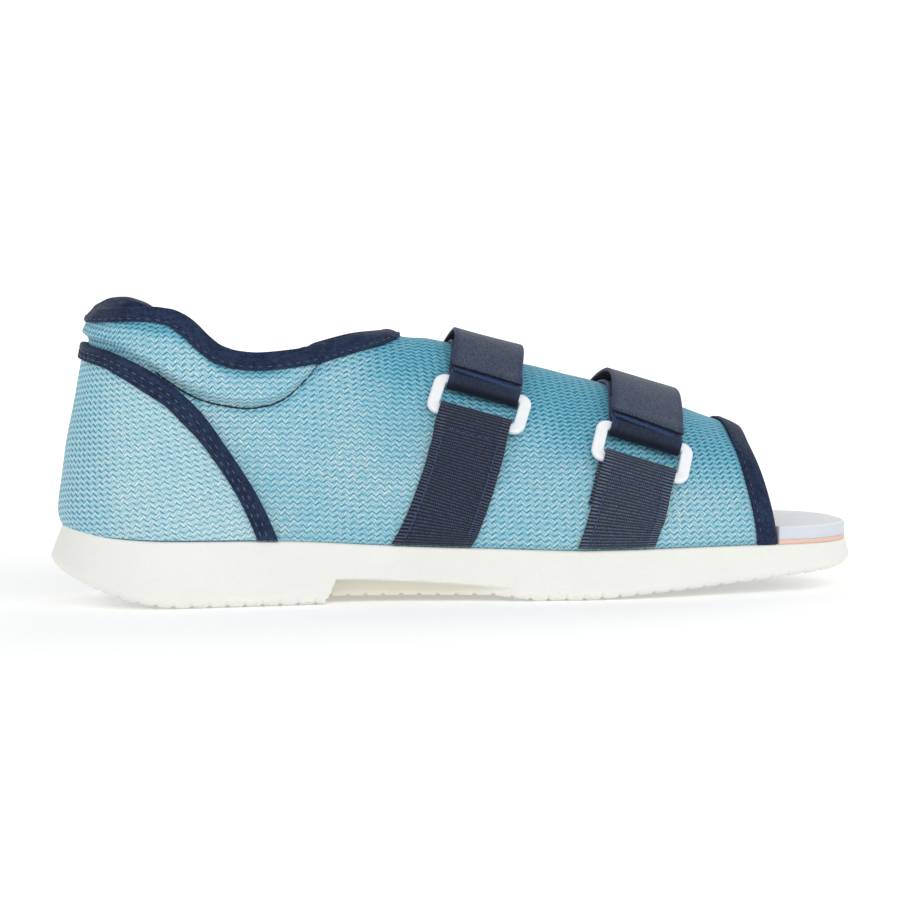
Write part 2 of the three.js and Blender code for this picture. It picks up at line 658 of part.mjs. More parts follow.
const COUNTER_COVERED = 0.45; // the panel reaches this far under the tape
const COUNTER_STEPS = 22;
function buildCounter() {
  const alongs = steps(0, 1, COUNTER_STEPS).slice(0, -1);
  const rib = (along, far) => {
    const { u, z } = counterPlace(along, COUNTER_COVERED);
    const foot = angleAt(u, footHeight(u) + GAP);
    const angles = steps(0, 1, 6).map((t) => mix(foot, angleAt(u, z), t ** ROW_CROWDING));
    const face = (offset) => angles.map((a) => toArray(outerFace(u, sideAngle(a, far), offset)));
    return [...face(GAP), ...face(GAP + COUNTER_THICKNESS).reverse()];
  };
  const near = alongs.map((along) => rib(along, false)).reverse();
  const far = alongs.slice(1).map((along) => rib(along, true));
  return sweep([...near, ...far]);
}

function buildCounterTape() {
  const over = 2 * GAP + COUNTER_THICKNESS;
  const proud = over + TAPE;
  const profile = [
    [0, over],
    [COUNTER_COVERED + 0.04, over],
    [COUNTER_COVERED + 0.14, GAP],
    [1, GAP],
    [1, proud * 0.6],
    [0.9, proud],
    [0.5, proud + 0.3],
    [0.08, proud],
  ];
  const section = (along, far) =>
    profile.map(([across, offset]) => {
      const { u, z } = counterPlace(along, across);
      return toArray(outerFace(u, sideAngle(angleAt(u, z), far), offset));
    });
  const alongs = steps(0, 1, COUNTER_STEPS);
  const near = alongs.map((along) => section(along, false)).reverse();
  const far = alongs.slice(1).map((along) => section(along, true));
  return sweep([...near, ...far]);
}

// The place reached from another by going along the upper by a vector that lies on it.
function slide({ u, angle }, vector) {
  const [eu, ea] = [0.3, 0.4 * RAD];
  const here = formPoint(u, angle);
  const alongU = formPoint(u + eu, angle).sub(here).divideScalar(eu);
  const alongA = formPoint(u, angle + ea).sub(here).divideScalar(ea);
  const [a, b, c] = [alongU.dot(alongU), alongU.dot(alongA), alongA.dot(alongA)];
  const [p, q] = [vector.dot(alongU), vector.dot(alongA)];
  const det = a * c - b * b;
  return { u: u + (c * p - b * q) / det, angle: angle + (a * q - b * p) / det };
}

// Collar tape: a U over the collar's edge, all the way round.
function buildCollarTape() {
  const stretch = collarStations(COLLAR_STEPS, HEEL_STEPS);
  const edge = (u, far) => ({ u, angle: sideAngle(topAngle(u, far), far) });
  const places = [
    ...stretch.map((u) => edge(u, false)),
    ...stretch.slice(1, -1).reverse().map((u) => edge(u, true)),
  ];
  const count = places.length;
  const stations = places.map((place, i) => {
    const before = places[(i + count - 1) % count];
    const after = places[(i + 1) % count];
    const direction = formPoint(after.u, after.angle).sub(formPoint(before.u, before.angle)).normalize();
    const outside = outerFace(place.u, place.angle, 0);
    const inside = innerFace(place.u, place.angle, 0);
    const through = outside.clone().sub(inside).normalize();
    const down = through.clone().cross(direction).normalize();
    const width = COLLAR_TAPE_WIDTH * tapeShare(collarShare(place.u));
    const half = formNormal(place.u, place.angle).cross(direction).multiplyScalar(width / 2);
    const mid = slide(place, half);
    const low = slide(mid, half);
    const rim = (beyond, lift) => {
      const from = beyond < 0 ? inside : outside;
      return from.clone().addScaledVector(through, beyond).addScaledVector(down, -lift);
    };
    const cover = COLLAR_TAPE_GAP + TAPE;
    return [
      outerFace(low.u, low.angle, COLLAR_TAPE_GAP),
      outerFace(mid.u, mid.angle, COLLAR_TAPE_GAP),
      rim(COLLAR_TAPE_GAP, COLLAR_TAPE_GAP),
      rim(-INSIDE_GAP, COLLAR_TAPE_GAP),
      innerFace(mid.u, mid.angle, INSIDE_GAP),
      innerFace(low.u, low.angle, INSIDE_GAP),
      innerFace(low.u, low.angle, INSIDE_GAP + TAPE),
      innerFace(mid.u, mid.angle, INSIDE_GAP + TAPE),
      rim(-INSIDE_GAP - TAPE, COLLAR_TAPE_GAP),
      rim(-TAPE / 2, cover),
      rim(TAPE / 2, cover),
      rim(cover, COLLAR_TAPE_GAP),
      outerFace(mid.u, mid.angle, cover),
      outerFace(low.u, low.angle, cover),
    ].map(toArray);
  });
  return sweep(stations, true);
}

// Toe tape: a U over the front edge of the upper, from the sole on one side to the other.
function buildToeTape() {
  const angles = [...ribAngles(TOE_OPENING, false), ...ribAngles(TOE_OPENING, true).reverse().slice(1)];
  const cover = GAP + TAPE;
  const inner = TOE_TAPE_WIDTH * 0.8;
  const stations = angles.map((angle) => {
    const edge = leaned(TOE_OPENING, angle);
    const place = (face, ahead, offset) => {
      const point = face(edge + ahead, angle, offset);
      point.z = Math.max(point.z, soleTop(point.x) + GAP);
      return point;
    };
    return [
      place(outerFace, -TOE_TAPE_WIDTH, GAP),
      place(outerFace, -TOE_TAPE_WIDTH / 2, GAP),
      place(outerFace, GAP, GAP),
      place(innerFace, GAP, GAP),
      place(innerFace, -inner, GAP),
      place(innerFace, -inner, cover),
      place(innerFace, 0, cover),
      place(innerFace, cover, 0),
      place(outerFace, cover, 0),
      place(outerFace, 0, cover),
      place(outerFace, -TOE_TAPE_WIDTH / 2, cover),
      place(outerFace, -TOE_TAPE_WIDTH, cover),
    ].map(toArray);
  });
  return sweep(stations);
}

// Footbed pieces lie inside the upper, and spread to the sole's edge in front of the toe tape.
const PLATFORM_X = TOE_OPENING + 2 * GAP + TAPE;
const WITHIN = FEATHER + WALL + TAPE + 2 * GAP;
const FOOTBED_EDGE = 0.4; // in front of the tape the footbed ends this far inside the sole's top edge

function footbedStations() {
  return [
    ...heelStations(7),
    ...sideStations(HEEL_X, PLATFORM_X - 0.02, 14).slice(1),
    ...(PLATFORM_X < TOE_X ? sideStations(PLATFORM_X, TOE_X, 1).slice(0, 1) : []),
    ...toeStations(9),
  ];
}

function footbed(bottom, thickness, round) {
  const inset = (station) => {
    const x = planPoint(station, 0)[0];
    return draft(x) + (x < PLATFORM_X - 0.01 ? WITHIN : FOOTBED_EDGE);
  };
  const row = (extra, height) => (station) => {
    const all = inset(station) + extra;
    return { inset: all, height: soleTop(planPoint(station, all)[0]) + bottom + height };
  };
  return planSlab(footbedStations(), [
    row(0, 0),
    row(0, thickness - round),
    row(round * 0.35, thickness - round * 0.25),
    row(round, thickness),
  ]);
}

// Straps. Each crosses the crest at a centre x and leans back towards the sole on both sides.
const STRAPS = [
  // foot and crest: shares of the length where its middle is at the sole and at the crest.
  // ring: how far up the side its ring is, as a share of the way from sole to crest.
  // sweep: power of the way in which the middle goes from foot to crest.
  { name: "rear", foot: 0.4535, crest: 0.543, ring: 0.59, sweep: 0.7 },
  { name: "front", foot: 0.676, crest: 0.7355, ring: 0.41, sweep: 0.8 },
];
const FOOT_SKEW = 22; // a strap's ends turn parallel to the sole within this length
const STEEP = 3 * RAD; // below this angle a strap keeps its direction
const RING_PITCH = RING_SLOT + RING_BAR; // between the middles of a ring's two bars
const RING_LIFT = 2 * GAP + WEBBING + RING_SLACK + RING_THICKNESS / 2; // its middle over the upper
const RING_HOLD = 9; // within this distance of a ring's middle a band follows the ring,
const RING_RELEASE = 8; // and over this further length it comes down to the upper

// A strap's track over the upper, from the sole on the near side to the sole on the far side.
function track(strap) {
  const angles = steps(0, 180 * RAD, 120);
  const centre = (angle) => shareX(mix(strap.foot, strap.crest, Math.sin(angle) ** strap.sweep));
  const points = angles.map((angle) => smoothFace(centre(angle), angle, 0));
  const lengths = [0];
  for (let i = 1; i < points.length; i++) lengths.push(lengths[i - 1] + points[i].distanceTo(points[i - 1]));
  const total = lengths.at(-1);
  const angleOf = (length) => {
    const wanted = clamp(length, 0, total);
    const i = clamp(lengths.findIndex((l) => l >= wanted), 1, lengths.length - 1);
    return mix(angles[i - 1], angles[i], (wanted - lengths[i - 1]) / (lengths[i] - lengths[i - 1]));
  };
  // across is in mm from the middle, towards the toe
  const onForm = (length, across, offset) => {
    const angle = angleOf(length);
    const place = { u: centre(angle), angle };
    const da = 0.5 * RAD;
    const lean = clamp(angle, STEEP, 180 * RAD - STEEP);
    const along = formPoint(centre(lean + da), lean + da).sub(formPoint(centre(lean - da), lean - da));
    const square = along.normalize().cross(formNormal(place.u, angle)).normalize();
    const level = formPoint(place.u + da, angle).sub(formPoint(place.u - da, angle)).normalize();
    const turned = smooth(Math.min(length, total - length) / FOOT_SKEW);
    const sideways = level.lerp(square, turned).normalize();
    sideways.multiplyScalar(across / sideways.dot(square) / 2);
    const end = slide(slide(place, sideways), sideways);
    return smoothFace(end.u, end.angle, offset);
  };
  const rings = [false, true].map((far) => {
    const middle = far ? total - strap.ring * (total / 2) : strap.ring * (total / 2);
    const bar = (reach, across = 0) => onForm(middle + reach, across, RING_LIFT);
    let reach = RING_PITCH / 2;
    for (let i = 0; i < 4; i++) reach *= RING_PITCH / bar(reach).distanceTo(bar(-reach));
    const up = bar(reach).sub(bar(-reach)).normalize();
    const centreOfBars = bar(reach).add(bar(-reach)).multiplyScalar(0.5);
    const across = bar(0, STRAP_WIDTH / 2).sub(bar(0, -STRAP_WIDTH / 2)).normalize();
    const normal = across.clone().cross(up).normalize();
    const frame = new THREE.Matrix4().makeBasis(up.clone().cross(normal), up, normal);
    return { middle, stretch: RING_PITCH / 2 / reach, frame: frame.setPosition(centreOfBars) };
  });
  const place = (length, across, offset) => {
    const point = onForm(length, across, offset);
    for (const { middle, stretch, frame } of rings) {
      const y = (length - middle) * stretch;
      const hold = 1 - smooth((Math.abs(y) - RING_HOLD) / RING_RELEASE);
      const held = new THREE.Vector3(across, y, offset - RING_LIFT).applyMatrix4(frame);
      point.lerp(held, hold);
    }
    return point;
  };
  return { total, place, rings };
}

function roundedRectangle(path, width, height, radius) {
  const [w, h, r] = [width / 2, height / 2, radius];
  path.moveTo(-w + r, -h);
  path.lineTo(w - r, -h);
  path.absarc(w - r, -h + r, r, -90 * RAD, 0, false);
  path.lineTo(w, h - r);
  path.absarc(w - r, h - r, r, 0, 90 * RAD, false);
  path.lineTo(-w + r, h);
  path.absarc(-w + r, h - r, r, 90 * RAD, 180 * RAD, false);
  path.lineTo(-w, -h + r);
  path.absarc(-w + r, -h + r, r, 180 * RAD, 270 * RAD, false);
  return path;
}

const RING_HOLE_WIDTH = STRAP_WIDTH + 1.2;
function buildRing() {
  const bevel = RING_BEVEL;
  const width = RING_HOLE_WIDTH + 2 * RING_END;
  const height = RING_SLOT + 2 * RING_BAR;
  const shape = roundedRectangle(new THREE.Shape(), width - 2 * bevel, height - 2 * bevel, RING_CORNER - bevel);
  shape.holes.push(
    roundedRectangle(
      new THREE.Path(),
      RING_HOLE_WIDTH + 2 * bevel,
      RING_SLOT + 2 * bevel,
      RING_HOLE_CORNER + bevel,
    ),
  );
  const depth = RING_THICKNESS - 2 * bevel;
  const options = { depth, bevelThickness: bevel, bevelSize: bevel, bevelSegments: 1, curveSegments: 3 };
  const geometry = new THREE.ExtrudeGeometry(shape, options);
  geometry.translate(0, 0, -depth / 2);
  return cleaned(geometry);
}

// A flat band that follows a strap's track. Its profile is a closed list of [length, offset] points.
function band(way, profile, width) {
  const soup = new Soup();
  const layers = [-width / 2, 0, width / 2].map((across) =>
    profile.map(([length, offset]) => toArray(way.place(length, across, offset))),
  );
  const closed = layers.map((points) => [...points, points[0]]);
  for (let i = 0; i + 1 < layers.length; i++) soup.strip(closed[i], closed[i + 1]);
  for (const [points, turned] of [[layers[0], true], [layers.at(-1), false]]) cap(soup, points, turned);
  return soup.geometry();
}

// A closed outline around a centre line of [length, offset] points, a given thickness wide.
function thicken(line, thickness) {
  const side = (sign) =>
    line.map(([l, o], i) => {
      const [l0, o0] = line[Math.max(i - 1, 0)];
      const [l1, o1] = line[Math.min(i + 1, line.length - 1)];
      const size = Math.hypot(l1 - l0, o1 - o0);
      const move = (sign * thickness) / 2 / size;
      return [l - (o1 - o0) * move, o + (l1 - l0) * move];
    });
  return [...side(1), ...side(-1).reverse()];
}

// Points close enough to follow the upper's curve, between two [length, offset] points.
const RUN_STEP = 5;
const run = (from, to) => {
  const count = Math.max(1, Math.ceil(Math.abs(to[0] - from[0]) / RUN_STEP));
  return steps(0, 1, count).slice(1, -1).map((t) => [mix(from[0], to[0], t), mix(from[1], to[1], t)]);
};
const filled = (line) => line.flatMap((point, i) => (i === 0 ? [point] : [...run(line[i - 1], point), point]));

// The turn of a band round a ring's bar, in the ring's own y and height over the upper.
const TURN_SQUARE = 0.8; // 1 is an ellipse
function turn(barY, thickness, from, to) {
  const reach = RING_BAR / 2 + GAP + thickness / 2;
  const rise = RING_THICKNESS / 2 + GAP + thickness / 2;
  return steps(from, to, 9).map((angle) => [
    barY + reach * signedPower(Math.cos(angle * RAD), TURN_SQUARE),
    RING_LIFT + rise * signedPower(Math.sin(angle * RAD), TURN_SQUARE),
  ]);
}

// A ring's own y, made into a length along the track. On the far side y still grows to the crest.
function lengthFrom(way, far) {
  const { middle, stretch } = way.rings[far ? 1 : 0];
  return ([y, offset]) => [middle + ((far ? -1 : 1) * y) / stretch, offset];
}

// Anchor webbing: up from the sole, over the ring's lower bar, round it and back down behind.
function buildWebbing(way, far) {
  const bar = -RING_PITCH / 2;
  const under = GAP + WEBBING / 2;
  const over = under + WEBBING + GAP;
  const foldEnd = bar - FOLD_BACK;
  const toLength = lengthFrom(way, far);
  const foot = -way.rings[0].middle * way.rings[0].stretch;
  const line = filled([
    [foot + GAP, under],
    [foldEnd - 4, under],
    [foldEnd - 1, over],
    [bar - RING_BAR * 1.8, over],
    ...turn(bar, WEBBING, 110, -90),
    [bar - RING_BAR * 0.9, under],
    [foldEnd + 1, under],
  ]);
  return band(way, thicken(line, WEBBING).map(toLength), STRAP_WIDTH);
}

// Layers of a strap, each a height over the upper: against it, on that, and over the hook patch.
const FIRST = GAP + STRAP / 2;
const SECOND = FIRST + STRAP + GAP;
const HOOKED = SECOND + STRAP / 2 + GAP + HOOK / 2;
const THIRD = HOOKED + HOOK / 2 + GAP + STRAP / 2;
const BAR_Y = RING_PITCH / 2;
const TAIL_START = BAR_Y + RING_BAR * 2;

// Strap: from its folded end round the near ring's bar, over the instep to the far ring, round that
// ring's bar, and back over itself to a free end above the near ring.
function buildStrap(way) {
  const near = lengthFrom(way, false);
  const far = lengthFrom(way, true);
  const loop = turn(-BAR_Y, STRAP, 110, -90).map(([y, offset]) => [-y, offset]);
  const half = way.total / 2;
  const line = filled([
    near([BAR_Y + TAIL, SECOND]),
    near([TAIL_START, SECOND]),
    ...loop.map(near),
    near([BAR_Y + RING_BAR * 1.2, FIRST]),
    [half, FIRST],
    far([BAR_Y + RING_BAR * 1.2, FIRST]),
    ...[...loop].reverse().map(far),
    far([TAIL_START, SECOND]),
    [half, THIRD],
    near([BAR_Y + TAIL, THIRD]),
    near([BAR_Y + RING_BAR * 1.7, THIRD]),
  ]);
  return band(way, thicken(line, STRAP), STRAP_WIDTH);
}

// Hook patch under the strap's free end.
function buildHook(way) {
  const near = lengthFrom(way, false);
  const line = filled([near([TAIL_START, HOOKED]), near([TAIL_START + HOOK_LENGTH, HOOKED])]);
  return band(way, thicken(line, HOOK), STRAP_WIDTH * 0.92);
}

// Colours, and the shoe put together
const finish = (color, roughness) => new THREE.MeshStandardMaterial({ color, roughness, metalness: 0 });
const FINISHES = {
  sole: finish(0xf0efe6, 0.6),
  board: finish(0xe8b9a4, 0.8),
  insole: finish(0xdfe5ea, 0.6),
  mesh: finish(0x6fb4cc, 0.75),
  tape: finish(0x2b3454, 0.55),
  webbing: finish(0x2c3143, 0.7),
  ring: finish(0xf2f5fa, 0.35),
};

const shoe = new THREE.Group();
shoe.name = "post_operative_shoe";

function add(name, geometry, material, parent = shoe) {
  geometry.computeVertexNormals();
  const mesh = new THREE.Mesh(geometry, FINISHES[material]);
  mesh.name = name;
  parent.add(mesh);
  return mesh;
}

const INSOLE_BOTTOM = GAP + BOARD_THICKNESS + GAP;
add("outsole", buildOutsole(), "sole");
add("insole_board", footbed(GAP, BOARD_THICKNESS, 0.1), "board");
add("insole", footbed(INSOLE_BOTTOM, INSOLE_THICKNESS, INSOLE_ROUND), "insole");
add("upper", buildUpper(), "mesh");
add("heel_counter", buildCounter(), "mesh");
add("counter_tape", buildCounterTape(), "tape");
add("collar_tape", buildCollarTape(), "tape");
add("toe_tape", buildToeTape(), "tape");

for (const strap of STRAPS) {
  const way = track(strap);
  for (const far of [false, true]) {
    const side = far ? "far" : "near";
    add(`webbing_${strap.name}_${side}`, buildWebbing(way, far), "webbing");
    const ring = add(`ring_${strap.name}_${side}`, buildRing(), "ring");
    ring.applyMatrix4(way.rings[far ? 1 : 0].frame);
  }
  add(`strap_${strap.name}`, buildStrap(way), "tape");
  add(`hook_patch_${strap.name}`, buildHook(way), "tape");
}

export default shoe;
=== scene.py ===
"""A post operative shoe: its cloth, tapes, straps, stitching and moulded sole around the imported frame.

The forms follow the frame's own functions. They are worked out here in millimetres, in finer steps, and
turned into metres where a mesh is made. +X points to the toe, -Y is the side that faces the camera.
"""

import math

import bmesh
import bpy
import numpy as np
from mathutils import Matrix, Vector


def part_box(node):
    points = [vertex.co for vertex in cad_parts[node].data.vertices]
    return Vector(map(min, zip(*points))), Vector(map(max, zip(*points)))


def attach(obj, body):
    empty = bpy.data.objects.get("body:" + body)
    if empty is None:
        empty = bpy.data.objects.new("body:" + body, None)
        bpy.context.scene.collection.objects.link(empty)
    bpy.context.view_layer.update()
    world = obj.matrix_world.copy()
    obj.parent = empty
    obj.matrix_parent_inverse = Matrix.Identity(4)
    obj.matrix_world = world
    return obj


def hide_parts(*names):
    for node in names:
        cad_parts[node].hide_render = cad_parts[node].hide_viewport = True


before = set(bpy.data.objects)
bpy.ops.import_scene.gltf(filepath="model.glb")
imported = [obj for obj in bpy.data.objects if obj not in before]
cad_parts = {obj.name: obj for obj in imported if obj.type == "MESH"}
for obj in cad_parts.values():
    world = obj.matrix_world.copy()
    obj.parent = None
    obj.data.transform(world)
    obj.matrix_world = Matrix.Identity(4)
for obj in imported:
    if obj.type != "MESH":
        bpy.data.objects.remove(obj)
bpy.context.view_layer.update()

MM = 0.001
RAD = math.pi / 180


def node_size(name, axis):
    """Length of a CAD node along an axis, in mm."""
    low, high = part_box(name)
    return (high[axis] - low[axis]) / MM


# Sizes in mm, as in the frame
LENGTH = round(node_size("outsole", 0), 3)
BALL_WIDTH = round(node_size("outsole", 1), 3)
HEEL_WIDTH = 79
WAIST_WIDTH = 77
TOE_WIDTH = 91
HEEL_END = 39
TOE_END = 31
HEEL_HEIGHT = 22
FORE_HEIGHT = 16.8
HEEL_BEVEL = 13.5
HEEL_BEVEL_LENGTH = 44
TOE_SPRING = 8.5
TOE_SPRING_LENGTH = 102
TOE_SPRING_POWER = 1.15
SIDE_DRAFT = 3.8
EDGE_ROUND = 2.4
ARCH_RISE = 2
ARCH_FRONT_RAMP = 14
RECESS_HEIGHT = 8
RECESS_DEPTH = 9
RECESS_FADE = 2.6
RECESS_SLANT = 0.45
GROOVE_PITCH = 6
GROOVE_WIDTH = 1.3
GROOVE_DEPTH = 0.8
BOARD_THICKNESS = 1.5
INSOLE_THICKNESS = 3.9
WALL = 3
CREST_HEIGHT = 70.5
COLLAR_HEIGHT = 102
COLLAR_FRONT = -22.5
COLLAR_PUFF = 3.4
INNER_PUFF = 0.4
TOE_OPENING = 105.2
TOE_LEAN = 0.16
LAP = 1.5
COUNTER_THICKNESS = 0.8
TAPE = 0.9
COLLAR_TAPE_WIDTH = 5.6
COLLAR_TAPE_GAP = 0.5
TOE_TAPE_WIDTH = 6.4
STRAP_WIDTH = 25
WEBBING = 1.3
STRAP = 1.3
HOOK = 0.9
RING_THICKNESS = 2.2
RING_BAR = 3.2
RING_SLOT = 10
RING_END = 4.1
RING_CORNER = 4
RING_HOLE_CORNER = 1.2
RING_SLACK = 0.7
FOLD_BACK = 17
TAIL = 19
HOOK_LENGTH = 11
GAP = 0.3
INSIDE_GAP = 0.7
FEATHER = 1.6
HEEL_SQUARE = 2.15
TOE_SQUARE = 2.5


def mix(a, b, t):
    return a + (b - a) * t


def smooth(v):
    """0 below 0, 1 above 1, and a soft step between."""
    v = np.clip(v, 0, 1)
    return v * v * (3 - 2 * v)


def signed_power(v, power):
    return np.sign(v) * np.abs(v) ** power


def bell(v, width):
    return np.exp(-((v / width) ** 2))


def arc(start, end, count):
    """Angles from start to end, which are given in degrees."""
    return np.linspace(start, end, count) * RAD


def same_shape(*values):
    """The values as arrays of numbers, stretched to one shape."""
    return np.broadcast_arrays(*(np.asarray(value, float) for value in values))


def table(names, *rows):
    """Columns of a short table, by name."""
    columns = np.array(rows, float).T
    return dict(zip(names.split(), columns))


def curve(columns, name):
    """A smooth function through a table's column, without overshoot between its rows."""
    xs, ys = columns["at"], columns[name]
    widths = np.diff(xs)
    slopes = np.diff(ys) / widths
    tangents = np.concatenate([slopes[:1], np.zeros(len(xs) - 2), slopes[-1:]])
    before, after = slopes[:-1], slopes[1:]
    rising = before * after > 0
    total = np.where(rising, before + after, 1)
    tangents[1:-1] = np.where(rising, 2 * before * after / total, 0)

    def value(x):
        x = np.clip(x, xs[0], xs[-1])
        i = np.clip(np.searchsorted(xs, x, side="right") - 1, 0, len(xs) - 2)
        t = (x - xs[i]) / widths[i]
        rise = 3 * t**2 - 2 * t**3
        start = t * (1 - t) ** 2 * widths[i] * tangents[i]
        end = t * t * (t - 1) * widths[i] * tangents[i + 1]
        return mix(ys[i], ys[i + 1], rise) + start + end

    return value


def share_x(share):
    return (share - 0.5) * LENGTH


def share_of(x):
    return x / LENGTH + 0.5


# The sole's plan, the height of its top, and the lean of its side
PLAN = table(
    "at width",
    (0, HEEL_WIDTH),
    (0.15, HEEL_WIDTH),
    (0.34, WAIST_WIDTH),
    (0.5, mix(WAIST_WIDTH, BALL_WIDTH, 0.42)),
    (0.68, BALL_WIDTH),
    (0.89, TOE_WIDTH),
    (1, TOE_WIDTH * 0.93),
)
SOLE_TOP = table(
    "at rise",
    (0, 2.02),
    (0.06, 1.38),
    (0.13, 1.13),
    (0.27, 0.96),
    (0.4, 0.52),
    (0.5, 0.27),
    (0.62, 0),
)
SIDE = table("at lean", (0, 1), (0.15, 0.8), (0.6, 0.6), (1, 0.26))
HEEL_X = share_x(0) + HEEL_END
TOE_X = share_x(1) - TOE_END
plan_width = curve(PLAN, "width")
sole_rise = curve(SOLE_TOP, "rise")
side_lean = curve(SIDE, "lean")


def sole_top(x):
    return mix(FORE_HEIGHT, HEEL_HEIGHT, sole_rise(share_of(x)))


def draft(x):
    return SIDE_DRAFT * side_lean(share_of(x))


def sole_bottom(x):
    back = np.clip((share_x(0) + HEEL_BEVEL_LENGTH - x) / HEEL_BEVEL_LENGTH, 0, 1)
    front = np.clip((x - share_x(1) + TOE_SPRING_LENGTH) / TOE_SPRING_LENGTH, 0, 1)
    return HEEL_BEVEL * back**2 + TOE_SPRING * front**TOE_SPRING_POWER


def half_width(x, inset):
    return plan_width(share_of(x)) / 2 - inset


# A station goes along one side: below HEEL_X it is an angle round the heel, above TOE_X round the toe,
# each in mm of arc, and between them it is x.
def heel_station(angle):
    return HEEL_X - HEEL_END * angle


def toe_station(angle):
    return TOE_X + TOE_END * angle


def plan_point(station, inset):
    """x and half width of the plan at a station, drawn in by an inset."""
    station, inset = same_shape(station, inset)
    heel, toe = station < HEEL_X, station > TOE_X
    end = np.where(heel, HEEL_END, TOE_END)
    angle = np.where(heel, HEEL_X - station, np.where(toe, station - TOE_X, 0)) / end
    power = 2 / np.where(heel, HEEL_SQUARE, TOE_SQUARE)
    along = (end - inset) * np.abs(np.sin(angle)) ** power
    x = np.where(heel, HEEL_X - along, np.where(toe, TOE_X + along, station))
    return x, half_width(x, inset) * signed_power(np.cos(angle), power)


def station_at(x, inset):
    """The station whose plan point has this x, for an inset."""
    x = np.asarray(x, float)

    def angle(reach, end, square):
        share = np.clip(reach / (end - inset), 0, 1)
        return np.arcsin(share ** (square / 2))

    heel = heel_station(angle(HEEL_X - x, HEEL_END, HEEL_SQUARE))
    toe = toe_station(angle(x - TOE_X, TOE_END, TOE_SQUARE))
    return np.where(x < HEEL_X, heel, np.where(x > TOE_X, toe, x))


# The upper's form. The rib at u stands on the sole's plan, and its angle goes from 0 at the sole on the
# -Y side, over the crest at 90 degrees, to 180.
U_BACK = heel_station(90 * RAD)
SECTIONS = table(
    "at crest rise side bulge",
    (-0.58, 1.56, 1.37, 2, 2.4),
    (-0.47, 1.64, 1.46, 2, 2),
    (-0.36, 1.77, 1.6, 2, 1.6),
    (-0.31, 1.7, 1.65, 2, 1.5),
    (-0.252, 1.56, 1.75, 1.9, 1.5),
    (-0.205, 1.44, 1.85, 1.8, 1.5),
    (-0.169, 1.29, 1.95, 1.7, 1.5),
    (-0.133, 1.145, 2.1, 1.6, 1.5),
    (-0.108, 1.066, 2.25, 1.55, 1.5),
    (-0.0935, 1.03, 2.32, 1.5, 1.5),
    (-0.081, 1.008, 2.36, 1.5, 1.5),
    (-0.058, 0.994, 2.4, 1.5, 1.5),
    (-0.01, 0.955, 2.4, 1.5, 1.6),
    (0.027, 0.918, 2.4, 1.53, 1.7),
    (0.141, 0.811, 2.45, 1.8, 2),
    (0.243, 0.688, 2.5, 2, 2.2),
    (0.307, 0.606, 2.45, 2, 2.4),
    (0.36, 0.522, 2.4, 2, 2.5),
    (0.385, 0.48, 2.4, 2, 2.5),
)
BULGE_HEIGHT = 10
crest_share = curve(SECTIONS, "crest")
rise_power = curve(SECTIONS, "rise")
side_power = curve(SECTIONS, "side")
bulge_at = curve(SECTIONS, "bulge")

# The collar from its front, at 0, to the heel back, at 1: heights as shares of COLLAR_HEIGHT, and the
# tape's width as a share of COLLAR_TAPE_WIDTH
TOPLINE = table(
    "at near far tape",
    (0, 0.885, 0.885, 1),
    (0.06, 0.88, 0.876, 1),
    (0.139, 0.863, 0.848, 1),
    (0.239, 0.834, 0.806, 1),
    (0.337, 0.826, 0.798, 1),
    (0.385, 0.832, 0.804, 1),
    (0.427, 0.85, 0.82, 1),
    (0.46, 0.883, 0.852, 1),
    (0.499, 0.937, 0.898, 1),
    (0.523, 0.96, 0.928, 0.95),
    (0.552, 0.976, 0.963, 0.86),
    (0.604, 0.983, 0.994, 0.76),
    (0.68, 0.982, 1.01, 0.74),
    (0.76, 0.98, 1.006, 0.74),
    (0.86, 0.978, 0.994, 0.74),
    (1, 0.977, 0.977, 0.74),
)
COLLAR_SEAM = table(
    "at height",
    (0, 0.9),
    (0.12, 0.9),
    (0.16, 0.858),
    (0.18, 0.812),
    (0.202, 0.771),
    (0.235, 0.728),
    (0.277, 0.683),
    (0.32, 0.662),
    (0.364, 0.655),
    (0.442, 0.671),
    (0.484, 0.689),
    (0.527, 0.72),
    (0.569, 0.759),
    (0.607, 0.79),
    (0.687, 0.838),
    (0.795, 0.873),
    (1, 0.893),
)
topline_near = curve(TOPLINE, "near")
topline_far = curve(TOPLINE, "far")
tape_share = curve(TOPLINE, "tape")
seam_height = curve(COLLAR_SEAM, "height")


def collar_share(u):
    return (COLLAR_FRONT - u) / (COLLAR_FRONT - U_BACK)


def collar_top(u, far):
    share = collar_share(u)
    return COLLAR_HEIGHT * np.where(far, topline_far(share), topline_near(share))


def collar_seam(u):
    return COLLAR_HEIGHT * seam_height(collar_share(u))


def rib_foot(u):
    """Foot of the rib at u: its x and its distance from the middle plane."""
    outer, _ = plan_point(u, 0)
    return plan_point(u, draft(outer) + FEATHER)


def foot_height(u):
    return sole_top(rib_foot(u)[0]) + GAP


PUFF_ROOM = 12  # where the padding is lower than this, it is thinner
PUFF_FULL = 0.17  # share of its height at which it reaches its full thickness
PUFF_FALL = 0.5  # share of its height from which it thins towards the edge
PUFF_LOST = 0.9  # share of its thickness that is lost there


def puff(u, z, far):
    """Padding outside the plain form, from the collar's seam up to its edge."""
    seam, top = collar_seam(u), collar_top(u, far)
    tall = np.maximum(top - seam, 1e-3)
    t = np.clip((z - seam) / tall, 0, 1)
    fall = 1 - PUFF_LOST * smooth((t - PUFF_FALL) / (1 - PUFF_FALL))
    swell = COLLAR_PUFF * np.clip(tall / PUFF_ROOM, 0, 1) * smooth(t / PUFF_FULL) * fall
    return np.where((u > COLLAR_FRONT) | (tall < 1), 0, swell)


LAP_ANGLE = 118 * RAD
LAP_STEP = 1.2 * RAD
LAP_RAMP = 16 * RAD
LAP_FADE = 10
LAP_START = 56 * RAD
LAP_GROWTH = 24 * RAD


